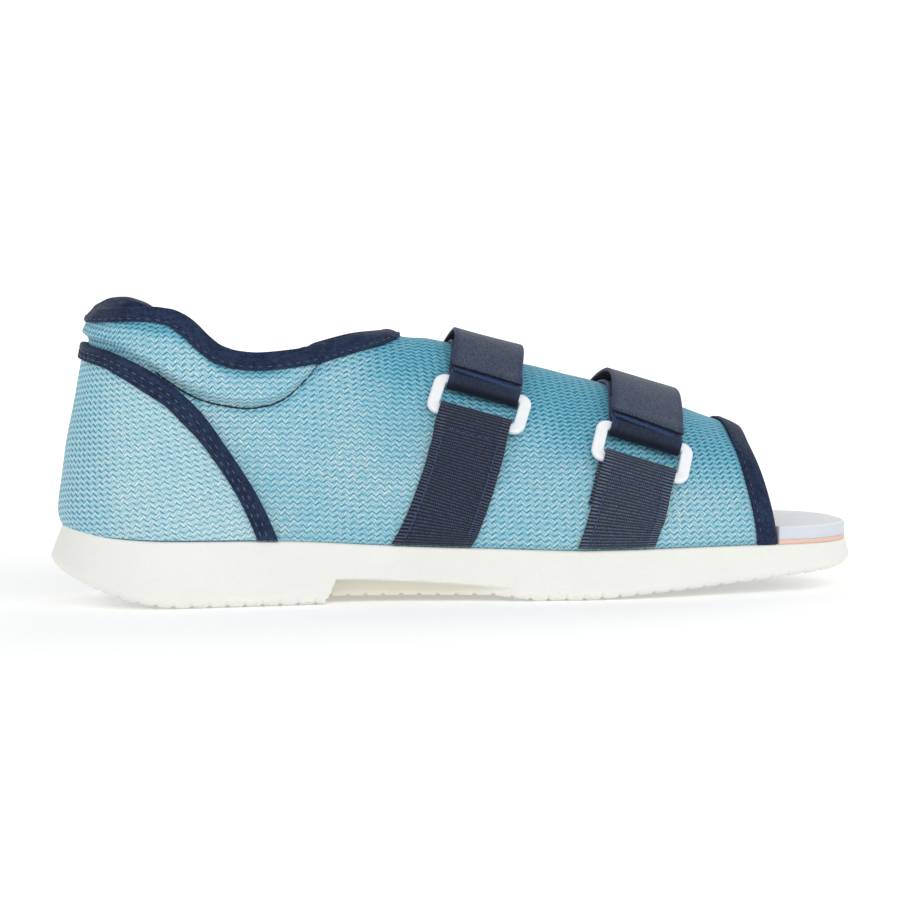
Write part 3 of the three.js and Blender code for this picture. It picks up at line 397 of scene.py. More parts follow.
def lap(u, angle, ramp):
    """The near half of the vamp laps over the far half, and ends in a step."""
    rise = smooth((angle - LAP_START) / LAP_GROWTH)
    fall = np.clip((LAP_ANGLE + ramp - angle) / ramp, 0, 1)
    return LAP * smooth((u - COLLAR_FRONT - COLLAR_TAPE_WIDTH) / LAP_FADE) * np.minimum(rise, fall)


def form_point(u, angle):
    """A point on the plain form, before any offset."""
    u, angle = same_shape(u, angle)
    foot_x, foot_y = rib_foot(u)
    share = u / LENGTH
    up = CREST_HEIGHT * crest_share(share) * np.abs(np.sin(angle)) ** (2 / rise_power(share))
    swell = bulge_at(share) * (up / BULGE_HEIGHT) * np.exp(1 - up / BULGE_HEIGHT)
    reach = np.abs(np.cos(angle)) ** (2 / side_power(share))
    side = np.where(np.cos(angle) >= 0, -1, 1)
    along = np.where(u < HEEL_X, HEEL_X - foot_x, 0)
    grow = reach + (swell / np.hypot(along, foot_y)) * np.minimum(1, reach * 3)
    x = np.where(u < HEEL_X, HEEL_X - along * grow, foot_x)
    return np.stack([x, side * foot_y * grow, sole_top(foot_x) + GAP + up], -1)


def unit(v):
    return v / np.maximum(np.linalg.norm(v, axis=-1, keepdims=True), 1e-12)


def form_normal(u, angle):
    """The outward direction on the plain form, which never points down."""
    du, da = 0.4, 0.6 * RAD
    low = np.maximum(angle - da, 0.05 * RAD)
    high = np.minimum(angle + da, 179.95 * RAD)
    along_u = form_point(u + du, angle) - form_point(u - du, angle)
    along_a = form_point(u, high) - form_point(u, low)
    normal = unit(np.cross(along_u, along_a))
    middle = form_point(u, angle)
    behind = np.minimum(middle[..., 0] - HEEL_X, 0)
    outward = np.stack([behind, middle[..., 1], np.ones_like(behind)], -1)
    normal = np.where((normal * outward).sum(-1, keepdims=True) < 0, -normal, normal)
    normal[..., 2] = np.maximum(normal[..., 2], 0)
    return unit(normal)


# Creases and soft hollows of the near and far side. Each is a trough, or a ridge where depth is less
# than 0, along a line from one point to another. A point is given by u and height over the floor.
CREASES = table(
    "u0 z0 u1 z1 width depth",
    (22, 30, 29, 62, 6, 0.5),
    (33, 60, 44, 74, 5, 0.35),
    (-12, 72, -38, 58, 7, 0.45),
    (-44, 62, -62, 30, 9, 0.5),
    (84, 30, 88, 52, 5, 0.4),
    (78, 60, 92, 46, 4, -0.3),
    (-60, 60, -80, 66, 6, 0.35),
    (-20, 48, -36, 30, 8, -0.45),
    (6, 76, 26, 70, 5, 0.3),
    (-112, 40, -104, 66, 9, 0.35),
    (-92, 95, -99, 86, 3, 0.5),
    (-87, 88, -80, 79, 3, 0.35),
    (-101, 97, -112, 91, 3, 0.3),
)
WAVES = table(
    "length_u length_z phase height",
    (31, 47, 0.6, 0.16),
    (-53, 29, 2.1, 0.18),
    (19, -37, 4.4, 0.08),
    (73, 61, 1.3, 0.2),
)


def relief(u, z):
    """Soft creases and unevenness of the cloth, in mm off the plain form."""
    total = 0
    for u0, z0, u1, z1, width, depth in zip(*CREASES.values()):
        du, dz = u1 - u0, z1 - z0
        t = np.clip(((u - u0) * du + (z - z0) * dz) / (du * du + dz * dz), 0, 1)
        away = np.hypot(u - u0 - t * du, z - z0 - t * dz)
        total = total - depth * bell(away, width) * np.sin(np.pi * (0.15 + 0.7 * t))
    for length_u, length_z, phase, height in zip(*WAVES.values()):
        total = total + height * np.sin(2 * np.pi * (u / length_u + z / length_z) + phase)
    return total


def plain_face(u, angle, offset):
    return form_point(u, angle) + form_normal(u, angle) * np.asarray(offset)[..., None]


SEAM_FRONT = -40
SEAM_BACK = -110
SEAM_DEPTH = 1.0
SEAM_WIDTH = 1.5
SEAM_FADE = 4
SEAM_PUCKER = 0.16
SEAM_PITCH = 4.1


def seam_groove(u, z):
    """The trough along the stitched seam under the padding, with small puckers."""
    away = z - collar_seam(u)
    here = smooth((SEAM_FRONT - u) / SEAM_FADE) * smooth((u - SEAM_BACK) / SEAM_FADE)
    pucker = SEAM_PUCKER * np.sin(2 * np.pi * u / SEAM_PITCH) * bell(away, 3 * SEAM_WIDTH)
    return here * (pucker - SEAM_DEPTH * bell(away, SEAM_WIDTH))


PINCH_DEPTH = 0.45
PINCH_WIDTH = 1.6
PINCH_BELOW = 0.6  # how far under the tape's edge it lies
PINCH_PUCKER = 0.14
PINCH_PITCH = 6.4
PINCH_FADE = 6


def tape_pinch(u, z, far):
    """The padding drawn in along the lower edge of the collar tape, with small puckers."""
    edge = collar_top(u, far) - COLLAR_TAPE_WIDTH * tape_share(collar_share(u)) - PINCH_BELOW
    away = z - edge
    here = smooth((SEAM_FRONT + PINCH_FADE / 2 - u) / PINCH_FADE)
    pucker = PINCH_PUCKER * np.sin(2 * np.pi * u / PINCH_PITCH) * bell(away + 2, PINCH_WIDTH * 1.5)
    return here * (pucker - PINCH_DEPTH * bell(away, PINCH_WIDTH))


FOOT_FADE = 8  # the creases fade out over this height above the sole
TOE_FADE = 10  # and over this length behind the toe's opening


def outer_face(u, angle, offset):
    z = form_point(u, angle)[..., 2]
    far = angle > 90 * RAD
    full = smooth((z - foot_height(u)) / FOOT_FADE) * smooth((TOE_OPENING - u) / TOE_FADE)
    raised = puff(u, z, far) + lap(u, angle, LAP_STEP) + relief(u, z) * full
    raised = raised + seam_groove(u, z) + tape_pinch(u, z, far)
    return plain_face(u, angle, offset + raised)


def smooth_face(u, angle, offset):
    return plain_face(u, angle, offset + lap(u, angle, LAP_RAMP))


def inner_face(u, angle, offset):
    padding = INNER_PUFF * puff(u, form_point(u, angle)[..., 2], angle > 90 * RAD)
    return plain_face(u, angle, -WALL - padding - offset)


def angle_at(u, z):
    """The angle at which the rib at u reaches a height, on the near side."""
    share = u / LENGTH
    up = np.clip((z - foot_height(u)) / (CREST_HEIGHT * crest_share(share)), 0, 1)
    return np.arcsin(up ** (rise_power(share) / 2))


def side_angle(angle, far):
    return np.where(far, 180 * RAD - angle, angle)


def leaned(u, angle):
    """The front edge leans back, so the ribs near it lean with it."""
    near = np.clip((u - COLLAR_FRONT) / (TOE_OPENING - COLLAR_FRONT), 0, 1)
    return u - TOE_LEAN * near**2 * (form_point(u, angle)[..., 2] - foot_height(u))


def top_angle(u, far):
    return np.where(u >= COLLAR_FRONT, 90 * RAD, angle_at(u, collar_top(u, far)))


def slide(u, angle, vector):
    """The place reached by going along the upper by a vector that lies on it."""
    eu, ea = 0.3, 0.4 * RAD
    here = form_point(u, angle)
    along_u = (form_point(u + eu, angle) - here) / eu
    along_a = (form_point(u, angle + ea) - here) / ea
    a, b, c = ((p * q).sum(-1) for p, q in ((along_u, along_u), (along_u, along_a), (along_a, along_a)))
    p, q = (vector * along_u).sum(-1), (vector * along_a).sum(-1)
    det = a * c - b * b
    return u + (c * p - b * q) / det, angle + (a * q - b * p) / det


# Meshes
def lengths_along(points):
    """Running length along a line of points."""
    steps = np.linalg.norm(np.diff(points, axis=0), axis=-1)
    return np.concatenate([[0], np.cumsum(steps)])


def grid_lengths(points, closed_rows=False, closed_columns=False, column=None):
    """Weave coordinates of a grid: mm along one of its columns, and mm along each of its rows."""
    full = np.concatenate([points, points[:1]]) if closed_rows else points
    full = np.concatenate([full, full[:, :1]], 1) if closed_columns else full
    along = lengths_along(full[:, full.shape[1] // 2 if column is None else column])
    steps = np.linalg.norm(np.diff(full, axis=1), axis=-1)
    across = np.concatenate([np.zeros((len(full), 1)), np.cumsum(steps, axis=1)], 1)
    return np.stack([np.broadcast_to(along[:, None], across.shape), across], -1)


def link(name, data):
    """A new object in the scene."""
    obj = bpy.data.objects.new(name, data)
    bpy.context.scene.collection.objects.link(obj)
    return obj


class Shape:
    """Quads with a weave coordinate in mm at each corner, gathered from several grids."""

    def __init__(self):
        self.points, self.faces, self.coords, self.parts = [], [], [], []
        self.count = 0

    def grid(self, points, coords=None, close_rows=False, close_columns=False, part=0):
        """A grid of points. coords has one more row or column where the grid closes."""
        rows, columns = points.shape[:2]
        if coords is None:
            coords = np.zeros((rows + close_rows, columns + close_columns, 2))
        i, j = np.indices((rows - 1 + close_rows, columns - 1 + close_columns))
        corners = [(i, j), (i + 1, j), (i + 1, j + 1), (i, j + 1)]
        face = np.stack([(a % rows) * columns + b % columns for a, b in corners], -1).reshape(-1, 4)
        self.points.append(points.reshape(-1, 3))
        self.faces.append(face + self.count)
        self.coords.append(np.stack([coords[a, b] for a, b in corners], -2).reshape(-1, 2))
        part = np.asarray(part)
        self.parts.append(part.repeat(len(face) // part.size))
        self.count += rows * columns
        return self

    def strip(self, a, b, coords=None, **options):
        """What joins two lines of points."""
        return self.grid(np.stack([a, b], 1), coords, **options)

    def halves(self, near, steps, coords=None):
        """A half of a symmetric form, its mirror image, and what joins their first and last columns."""
        far = near * [1, -1, 1]
        self.grid(near, coords).grid(far, coords)
        shares = np.linspace(0, 1, steps)[None, :, None]
        for column in (0, -1):
            bridge = mix(near[:, None, column], far[:, None, column], shares)
            self.grid(bridge, None if coords is None else coords[:, [column]].repeat(steps, 1))
        return self

    def build(self, name, materials, slot, replaces=(), merge=1e-3):
        mesh = bpy.data.meshes.new(name)
        points = np.concatenate(self.points) * MM
        faces = np.concatenate(self.faces)
        mesh.vertices.add(len(points))
        mesh.vertices.foreach_set("co", points.ravel())
        mesh.loops.add(faces.size)
        mesh.loops.foreach_set("vertex_index", faces.ravel())
        mesh.polygons.add(len(faces))
        mesh.polygons.foreach_set("loop_start", np.arange(0, faces.size, 4))
        mesh.polygons.foreach_set("material_index", np.concatenate(self.parts))
        mesh.polygons.foreach_set("use_smooth", np.ones(len(faces), bool))
        weave = mesh.uv_layers.new(name="weave")
        weave.data.foreach_set("uv", np.concatenate(self.coords).astype(np.float32).ravel())
        mesh.update(calc_edges=True)
        mesh.validate()
        tidy_mesh(mesh, merge * MM)
        obj = link(name, mesh)
        for material in materials:
            mesh.materials.append(material)
        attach(obj, "root")
        if replaces:
            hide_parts(*replaces)
        return obj


def tidy_mesh(mesh, distance):
    """Joins doubled points, drops empty faces and turns all faces outward."""
    bm = bmesh.new()
    bm.from_mesh(mesh)
    bmesh.ops.remove_doubles(bm, verts=bm.verts, dist=distance)
    bmesh.ops.dissolve_degenerate(bm, dist=distance / 10, edges=bm.edges)
    bmesh.ops.recalc_face_normals(bm, faces=bm.faces)
    bm.to_mesh(mesh)
    bm.free()


# Materials
class Value:
    """An output of a node, in sums and products with other outputs and with numbers."""

    def __init__(self, nodes, socket):
        self.nodes, self.socket = nodes, socket

    def __add__(self, other):
        return self.nodes.math("ADD", self, other)

    def __mul__(self, other):
        return self.nodes.math("MULTIPLY", self, other)

    def __truediv__(self, other):
        return self.nodes.math("DIVIDE", self, other)

    def __rsub__(self, other):
        return self.nodes.math("SUBTRACT", other, self)


class Nodes:
    """Short calls that build a material's node tree."""

    def __init__(self, name):
        self.material = bpy.data.materials.new(name)
        self.material.use_nodes = True
        self.tree = self.material.node_tree
        self.shader = self.tree.nodes["Principled BSDF"]
        metres = self.node("ShaderNodeTexCoord", output="Object")
        self.place = self.vector("SCALE", {0: metres, 3: 1 / MM})  # on the object, in mm

    def put(self, socket, value):
        if isinstance(value, Value):
            self.tree.links.new(value.socket, socket)
        else:
            socket.default_value = value

    def node(self, kind, inputs=(), output=0, **settings):
        """One output of a new node."""
        node = self.tree.nodes.new(kind)
        for key, value in settings.items():
            setattr(node, key, value)
        for key, value in dict(inputs).items():
            self.put(node.inputs[key], value)
        return Value(self, node.outputs[output])

    def math(self, operation, *values, clamp=False):
        return self.node("ShaderNodeMath", enumerate(values), operation=operation, use_clamp=clamp)

    def vector(self, operation, inputs, output=0):
        return self.node("ShaderNodeVectorMath", inputs, output, operation=operation)

    def split(self, vector):
        """The x, y and z of a vector."""
        node = self.tree.nodes.new("ShaderNodeSeparateXYZ")
        self.put(node.inputs[0], vector)
        return [Value(self, output) for output in node.outputs]

    def join(self, x=0.0, y=0.0, z=0.0):
        return self.node("ShaderNodeCombineXYZ", {0: x, 1: y, 2: z})

    def normal(self):
        return self.split(self.node("ShaderNodeNewGeometry", output="Normal"))

    def wave(self, value, pitch):
        """A zigzag that goes from 0 to 1 and back within each pitch."""
        return self.math("PINGPONG", value, pitch / 2) / (pitch / 2)

    def ramp(self, value, low, high, to_low=0.0, to_high=1.0):
        inputs = {0: value, 1: low, 2: high, 3: to_low, 4: to_high}
        return self.node("ShaderNodeMapRange", inputs, interpolation_type="SMOOTHSTEP")

    def mix(self, factor, a, b, blend="MIX"):
        return self.node("ShaderNodeMix", {0: factor, 6: a, 7: b}, 2, data_type="RGBA", blend_type=blend)

    def layers(self, colour, *layers):
        """A colour under layers, each given as how much it covers and its own colour."""
        for cover, tone in layers:
            colour = self.mix(cover, colour, tone)
        return colour

    def noise(self, scale, detail=2.0, roughness=0.5, vector=None, output=0):
        vector = self.place if vector is None else vector
        inputs = {"Vector": vector, "Scale": scale, "Detail": detail, "Roughness": roughness}
        return self.node("ShaderNodeTexNoise", inputs, output)

    def weave(self, wander=0.0, turn=0.0):
        """The two weave coordinates in mm, with a slight wander, turned by an angle."""
        uv = self.node("ShaderNodeUVMap", uv_map="weave")
        if wander:
            shift = self.vector("SUBTRACT", {0: self.noise(0.12, output="Color"), 1: (0.5, 0.5, 0.5)})
            uv = self.vector("ADD", {0: uv, 1: self.vector("SCALE", {0: shift, 3: wander})})
        if turn:
            uv = self.node("ShaderNodeVectorRotate", {"Vector": uv, "Angle": turn})
        return self.split(uv)[:2]

    def bump(self, height, distance, strength=1.0, normal=None):
        inputs = {"Height": height, "Distance": distance * MM, "Strength": strength}
        if normal is not None:
            inputs["Normal"] = normal
        return self.node("ShaderNodeBump", inputs)

    def done(self, **inputs):
        for key, value in inputs.items():
            self.put(self.shader.inputs[key.replace("_", " ")], value)
        return self.material


def rgb(r, g, b):
    return (r, g, b, 1.0)


def darker(colour, share):
    return rgb(*(share * c for c in colour[:3]))


MESH_ROW = 1.95
MESH_PERIOD = 2.95
MESH_ZIGZAG = 0.5  # height of the zigzag, in rows
STRAND_PITCH = 0.95
STRAND_LEAN = 50 * RAD


def mesh_material(name, strand, cream, gap, blue, line, turn=0.0):
    """Knitted mesh: leaning light strands in zigzag rows, with blue lines between the rows."""
    n = Nodes(name)
    s, t = n.weave(wander=0.5, turn=turn)
    x, y, _ = n.split(n.place)
    facing_front, _, facing_up = n.normal()
    period = s / MESH_PERIOD
    away = n.wave(t / MESH_ROW + n.wave(period, 1) * MESH_ZIGZAG, 1)
    fall = n.math("SINE", period * (2 * math.pi))
    falling = n.ramp(fall, -0.3, 0.3)
    # where the cloth is drawn tight one way, the strands of that lean are the bold ones
    draw = n.ramp(n.noise(0.018), 0.3, 0.54)
    bold = falling * (1 - draw) + (1 - falling) * draw
    # painted shade: where the cloth faces up, over the crest, and where it turns away round the heel's back,
    # its blue lines are drawn wider and darker, more of the gap's blue shows behind, and over the tops its
    # colour is tinted a deeper teal
    crest = n.ramp(n.math("ABSOLUTE", y), 18.0, 32.0, 0.85, 0.0)
    crest = crest * n.ramp(x, COLLAR_FRONT - 12.0, COLLAR_FRONT + 4.0)
    top = n.math("MAXIMUM", n.ramp(facing_up, 0.25, 0.9), crest)
    behind = n.ramp(facing_front, -0.95, -0.35, 0.7, 0.0)
    drawn = n.math("MAXIMUM", top, behind)
    width = (bold * (line * 0.4) + line * 0.6) * n.ramp(n.noise(0.9, 3.0), 0.25, 0.75, 0.75, 1.25)
    width = width * (drawn * 0.75 + 1.0)
    dark = 1 - n.ramp(away, width * 0.4, width * 1.7)
    dark = n.math("MULTIPLY", dark, drawn * 0.25 + (bold * 0.35 + 0.5), clamp=True)
    across = s * math.sin(STRAND_LEAN) + t * n.math("SIGN", fall) * math.cos(STRAND_LEAN)
    stripe = n.wave(across, STRAND_PITCH)
    thread = n.layers(
        strand,
        (n.ramp(n.noise(0.8), 0.35, 0.65), cream),
        # painted glints: small near-white highlights scattered on the strands
        (n.ramp(n.noise(1.3, 1.0), 0.62, 0.72) * 0.6, rgb(0.9, 0.89, 0.86)),
        (n.ramp(n.noise(0.03, 3.0), 0.3, 0.7) * 0.3, gap),
        # painted shade: more of the gap's blue round the heel's back
        (behind * 0.4, gap),
        (n.ramp(stripe, 0.1, 0.8, 1.0, 0.0) * 0.85, gap),
        # cream on the crowns of the bold strands: the thread's cream with a painted highlight
        (n.ramp(away, 0.45, 0.95) * bold * 0.3, cream),
        (n.ramp(n.noise(1.7, 2.0, 0.6), 0.4, 0.62) * 0.6, gap),
        (dark, blue),
    )
    # painted shade: a deeper teal where the cloth faces up
    painted_shade_teal = n.mix(1.0, thread, rgb(0.44, 0.84, 0.93), "MULTIPLY")
    height = stripe * 0.35 + n.math("POWER", away, 0.6)
    return n.done(
        Base_Color=n.mix(top, thread, painted_shade_teal),
        Roughness=0.62,
        Specular_IOR_Level=0.25,
        Sheen_Weight=0.08,
        Sheen_Roughness=0.5,
        Normal=n.bump(height, 0.24, 0.8),
    )


def lining_material():
    n = Nodes("lining")
    return n.done(
        Base_Color=n.mix(n.ramp(n.noise(0.08, 3.0), 0.3, 0.7), rgb(0.62, 0.66, 0.68), rgb(0.72, 0.75, 0.76)),
        Roughness=0.9,
        Sheen_Weight=0.3,
        Normal=n.bump(n.noise(1.4, 4.0), 0.2, 0.6),
    )


TAPE_THREAD = 0.55


def tape_material(name, colour, dark):
    """Woven satin tape: fine slanting threads, soft wrinkles, and long soft painted lights and shades along
    them.
    """
    n = Nodes(name)
    s, t = n.weave()
    thread = n.math("SINE", (s * 0.7 + t * 0.7) * (2 * math.pi / TAPE_THREAD))
    wrinkle = n.noise(1.0, 3.0, vector=n.join(s * 0.22, t * 0.6))
    grain = n.noise(1.2, 3.0, 0.65)
    cloud = n.noise(0.12, 3.0)
    # painted light and shade along the wrinkles; grain and cloud are the tape's own uneven tone
    shade = n.ramp(wrinkle, 0.3, 0.7) * 0.3 + n.ramp(cloud, 0.3, 0.7) * 0.2
    shade = n.ramp(grain, 0.36, 0.64) * 0.5 + shade
    return n.done(
        Base_Color=n.mix(shade, dark, colour),
        Roughness=0.6,
        Specular_IOR_Level=0.12,
        Normal=n.bump(wrinkle, 0.8, 0.7, n.bump(thread * 0.3 + grain, 0.07, 0.7)),
    )


WEBBING_RIB = 1.08
WEBBING_TWILL = 0.8


def webbing_material(name, colour, dark):
    """Ribbed webbing: ribs across it, plain along the edges and broken into twill between them."""
    n = Nodes(name)
    s, t = n.weave(wander=0.25)
    fuzz = n.noise(2.2, 3.0)
    inner = n.ramp(n.math("ABSOLUTE", t), 8.8, 10.0, 1.0, 0.0)
    broken = inner * n.ramp(n.wave(s * 0.55 + t, WEBBING_TWILL), 0.1, 0.7, 0.6, 0.0)
    crown = n.math("MAXIMUM", n.ramp(n.wave(s, WEBBING_RIB), 0.25, 0.75), inner * 0.18) * (1 - broken)
    shade = crown * n.ramp(fuzz, 0.35, 0.65, 0.5, 1.25) * (inner * -0.15 + 1.0)
    return n.done(
        Base_Color=n.mix(shade, dark, colour),
        Roughness=0.7,
        Specular_IOR_Level=0.22,
        Sheen_Weight=0.06,
        Normal=n.bump(fuzz * 0.3 + crown, 0.2, 0.9),
    )


STRAP_LINE = 0.72


def strap_material(name, colour, dark, shaded):
    """Loop side of the strap: fine lines along it, a matted bloom, and bluer woven edges.

    shaded is how steep the cloth is, as the height of its normal, where painted shade starts to darken it
    downwards.
    """
    n = Nodes(name)
    s, t = n.weave(wander=0.2)
    _, _, facing_up = n.normal()
    pile = n.noise(1.7, 4.0, 0.65)
    line = n.wave(t, STRAP_LINE)
    strand = n.noise(1.0, 3.0, vector=n.join(s * 0.3, t * 2.0))
    shade = n.ramp(pile, 0.35, 0.65) * 0.6 + n.ramp(strand, 0.35, 0.65) * 0.25
    cloth = n.layers(
        dark,
        (line * 0.15 + shade, colour),
        (n.ramp(n.noise(0.1, 3.0), 0.35, 0.65, 0.25, 0.0), rgb(0.02, 0.035, 0.09)),
        (n.ramp(n.math("ABSOLUTE", t), 9.8, 12.2, 0.0, 0.75), rgb(0.022, 0.036, 0.1)),
        # painted shade: near black where the cloth turns downwards
        (n.ramp(facing_up, shaded - 0.85, shaded, 0.8, 0.0), rgb(0.003, 0.005, 0.012)),
    )
    return n.done(
        Base_Color=cloth,
        Roughness=0.62,
        Specular_IOR_Level=0.2,
        Sheen_Weight=0.1,
        Sheen_Roughness=0.45,
        Sheen_Tint=rgb(0.8, 0.84, 0.95),
        Normal=n.bump(line * 0.3 + (strand * 0.6 + pile), 0.18, 0.9),
    )


def hook_material():
    n = Nodes("hook_pile")
    pile = n.noise(2.2, 4.0, 0.7)
    colour = n.mix(n.ramp(pile, 0.35, 0.65), rgb(0.01, 0.02, 0.055), rgb(0.035, 0.085, 0.24))
    return n.done(Base_Color=colour, Roughness=0.6, Normal=n.bump(pile, 0.4, 1.0))


def thread_material(name, colour):
    n = Nodes(name)
    twist = n.noise(4.0)
    shade = n.mix(n.ramp(twist, 0.3, 0.7), darker(colour, 0.55), colour)
    return n.done(Base_Color=shade, Roughness=0.45, Normal=n.bump(twist, 0.08, 0.6))


def plastic_material():
    n = Nodes("ring_plastic")
    flow = n.noise(0.25, 3.0)
    return n.done(
        Base_Color=n.mix(n.ramp(flow, 0.3, 0.7), rgb(0.86, 0.88, 0.92), rgb(0.9, 0.92, 0.95)),
        Roughness=n.ramp(n.noise(1.2, 3.0), 0.3, 0.7, 0.3, 0.42),
        Subsurface_Weight=0.15,
        Subsurface_Radius=(0.002, 0.002, 0.002),
        Subsurface_Scale=1.0,
        Coat_Weight=0.15,
        Coat_Roughness=0.3,
        Normal=n.bump(flow, 0.06, 0.4),
    )


def foam_material(name, colour, shade, grain, depth, roughness):
    """Moulded foam: fine pits and a leathery grain in a smooth skin, and slight unevenness of colour."""
    n = Nodes(name)
    pits = n.noise(grain, 4.0, 0.6)
    cloud = n.noise(0.05, 3.0)
    cells = n.node("ShaderNodeTexVoronoi", {"Vector": n.place, "Scale": grain * 0.9}, "Distance")
    tone = n.mix(n.ramp(cloud, 0.25, 0.75), shade, colour)
    tone = n.mix(n.ramp(pits, 0.25, 0.5, 0.2, 0.0), tone, darker(colour, 0.82))
    height = cells * 0.7 + (cloud * 2.0 + pits)
    return n, tone, dict(Roughness=roughness, Specular_IOR_Level=0.3, Normal=n.bump(height, depth, 0.5))


def sole_material():
    """Cream foam, darker beige where it is cut in, in the waist and in the tread, partly the foam's own
    beige and partly painted shade in these hollows; and with beige specks near the floor.
    """
    cream, shade = rgb(0.84, 0.84, 0.795), rgb(0.815, 0.815, 0.77)
    n, tone, finish = foam_material("sole_foam", cream, shade, 1.1, 0.2, 0.55)
    cut, groove = n.weave()
    _, _, height = n.split(n.place)
    speck = n.ramp(n.noise(0.7, 4.0), 0.5, 0.62, 0.0, 0.5) * n.ramp(height, 0.6, 2.4, 1.0, 0.0)
    beige = n.math("MAXIMUM", n.ramp(groove, 0.74, 0.9), speck)
    # painted shade, with the foam's own beige: the waist's recess and the tread's grooves darker
    tone = n.layers(tone, (n.ramp(cut, 0.5, 5.0), rgb(0.82, 0.79, 0.69)), (beige, rgb(0.66, 0.62, 0.5)))
    return n.done(Base_Color=tone, **finish)


def insole_material():
    """White foam sheet, greyer on its sides, where its faces turn from upward, than on its top."""
    white, shade = rgb(0.9, 0.92, 0.945), rgb(0.87, 0.895, 0.92)
    n, tone, finish = foam_material("insole_foam", white, shade, 0.8, 0.1, 0.6)
    _, _, facing_up = n.normal()
    greyer_sides = n.mix(1.0, tone, rgb(0.73, 0.76, 0.8), "MULTIPLY")
    return n.done(Base_Color=n.mix(n.ramp(facing_up, 0.3, 0.8), greyer_sides, tone), **finish)


def board_material():
    n = Nodes("board_fibre")
    _, _, height = n.split(n.place)
    fibre = n.noise(1.6, 5.0, 0.7)
    layer = n.noise(1.0, 1.0, vector=n.join(z=height * 4.0))
    return n.done(
        Base_Color=n.mix(
            n.ramp(fibre, 0.3, 0.7) * 0.6 + layer * 0.4, rgb(0.74, 0.44, 0.35), rgb(0.88, 0.62, 0.53)
        ),
        Roughness=0.85,
        Normal=n.bump(fibre, 0.12, 0.7),
    )


mesh_cloth = mesh_material(
    "mesh_cloth",
    strand=rgb(0.55, 0.67, 0.71),
    cream=rgb(0.82, 0.78, 0.71),
    gap=rgb(0.09, 0.44, 0.57),
    blue=rgb(0.003, 0.225, 0.395),
    line=0.3,
)
# The counter's cloth is drawn lighter than the mesh's: painted sheen, where its strands face the light.
counter_cloth = mesh_material(
    "counter_cloth",
    strand=rgb(0.68, 0.72, 0.735),
    cream=rgb(0.88, 0.84, 0.78),
    gap=rgb(0.19, 0.52, 0.64),
    blue=rgb(0.012, 0.27, 0.435),
    line=0.285,
    turn=8 * RAD,
)
lining = lining_material()
tape_cloth = tape_material("tape_cloth", rgb(0.028, 0.049, 0.11), rgb(0.0035, 0.009, 0.028))
# The front webbing is drawn lighter than the rear one: painted light, where it faces the light more.
webbing_cloth = {
    "rear": webbing_material("webbing_rear_cloth", rgb(0.072, 0.09, 0.145), rgb(0.003, 0.006, 0.017)),
    "front": webbing_material("webbing_front_cloth", rgb(0.11, 0.142, 0.2), rgb(0.007, 0.012, 0.026)),
}
strap_cloth = strap_material("strap_cloth", rgb(0.092, 0.114, 0.168), rgb(0.009, 0.016, 0.038), 0.1)
# The strap's cloth again, darker: painted shade on the rows that roll round the near ring, under the flap.
shaded_roll_cloth = strap_material("strap_roll_painted_shade", rgb(0.026, 0.039, 0.073), rgb(0.003, 0.006, 0.016), 0.6)
hook_pile = hook_material()
hook_thread = thread_material("hook_thread", rgb(0.035, 0.085, 0.24))
blue_thread = thread_material("blue_thread", rgb(0.035, 0.085, 0.22))
counter_thread = thread_material("counter_thread", rgb(0.05, 0.11, 0.25))
box_thread = thread_material("box_thread", rgb(0.03, 0.075, 0.2))
seam_thread = thread_material("seam_thread", rgb(0.004, 0.009, 0.02))
# near-black thread laid between the stitches: painted shadow in the needle holes
needle_hole_shadow = thread_material("needle_hole_shadow", rgb(0.004, 0.007, 0.017))
ring_plastic = plastic_material()
sole_foam = sole_material()
insole_foam = insole_material()
board_fibre = board_material()


# Sole
HEEL_BREAST = share_x(0.324)
RECESS_FRONT = share_x(0.553)


def tread_height(x):
    ramp = np.clip((RECESS_FRONT + ARCH_FRONT_RAMP / 2 - x) / ARCH_FRONT_RAMP, 0, 1)
    return np.where(x > HEEL_BREAST, np.maximum(sole_bottom(x), ARCH_RISE * ramp), sole_bottom(x))


def groove_centres():
    first = share_x(0) + HEEL_BEVEL_LENGTH / 3
    last = share_x(1) - TOE_END / 2
    centres = first + GROOVE_PITCH * np.arange(int((last - first) / GROOVE_PITCH) + 1)
    return centres[np.abs(centres - HEEL_BREAST) > GROOVE_WIDTH * 1.5]


def groove_depth(x):
    away = np.abs(x[..., None] - groove_centres()).min(-1)
    return GROOVE_DEPTH * (1 - smooth((away - GROOVE_WIDTH / 2 + 0.25) / 0.5))


def recess(x, z):
    """How far the side is cut in at the waist."""
    back = HEEL_BREAST + ARCH_RISE + (z - RECESS_HEIGHT / 2) * RECESS_SLANT
    t = np.clip((x - back) / (RECESS_FRONT - back), 0, 1)
    top = mix(RECESS_HEIGHT, sole_bottom(x) + EDGE_ROUND * 1.8, t**1.5)
    inside = smooth((x - back + 0.3) / 0.8) * (x < RECESS_FRONT)
    return RECESS_DEPTH * (1 - t**RECESS_FADE) * inside * (1 - smooth((z - top + 0.35) / 0.7))


BOTTOM_EDGE = EDGE_ROUND * 1.4
TOP_EDGE = 1.0
EDGE_LIFT = 0.15  # keeps the rows of the side apart where they meet the ground


def sole_stations():
    ends = [heel_station(arc(90, 0, 40)), toe_station(arc(0, 90, 36))]
    side = np.arange(HEEL_X, TOE_X, 1.6)
    marks = (-0.9, -0.65, -0.4, 0.4, 0.65, 0.9)
    grooves = np.concatenate([groove_centres() + mark for mark in marks])
    breast = HEEL_BREAST + np.array([-0.6, -0.2, 0, 0.01, 0.4, 1, 1.6, 2.2, 2.8, 3.4])
    stations = np.sort(np.concatenate([*ends, side, station_at(grooves, BOTTOM_EDGE), breast]))
    keep = np.concatenate([[True], np.diff(stations) > 0.02])
    return stations[keep]


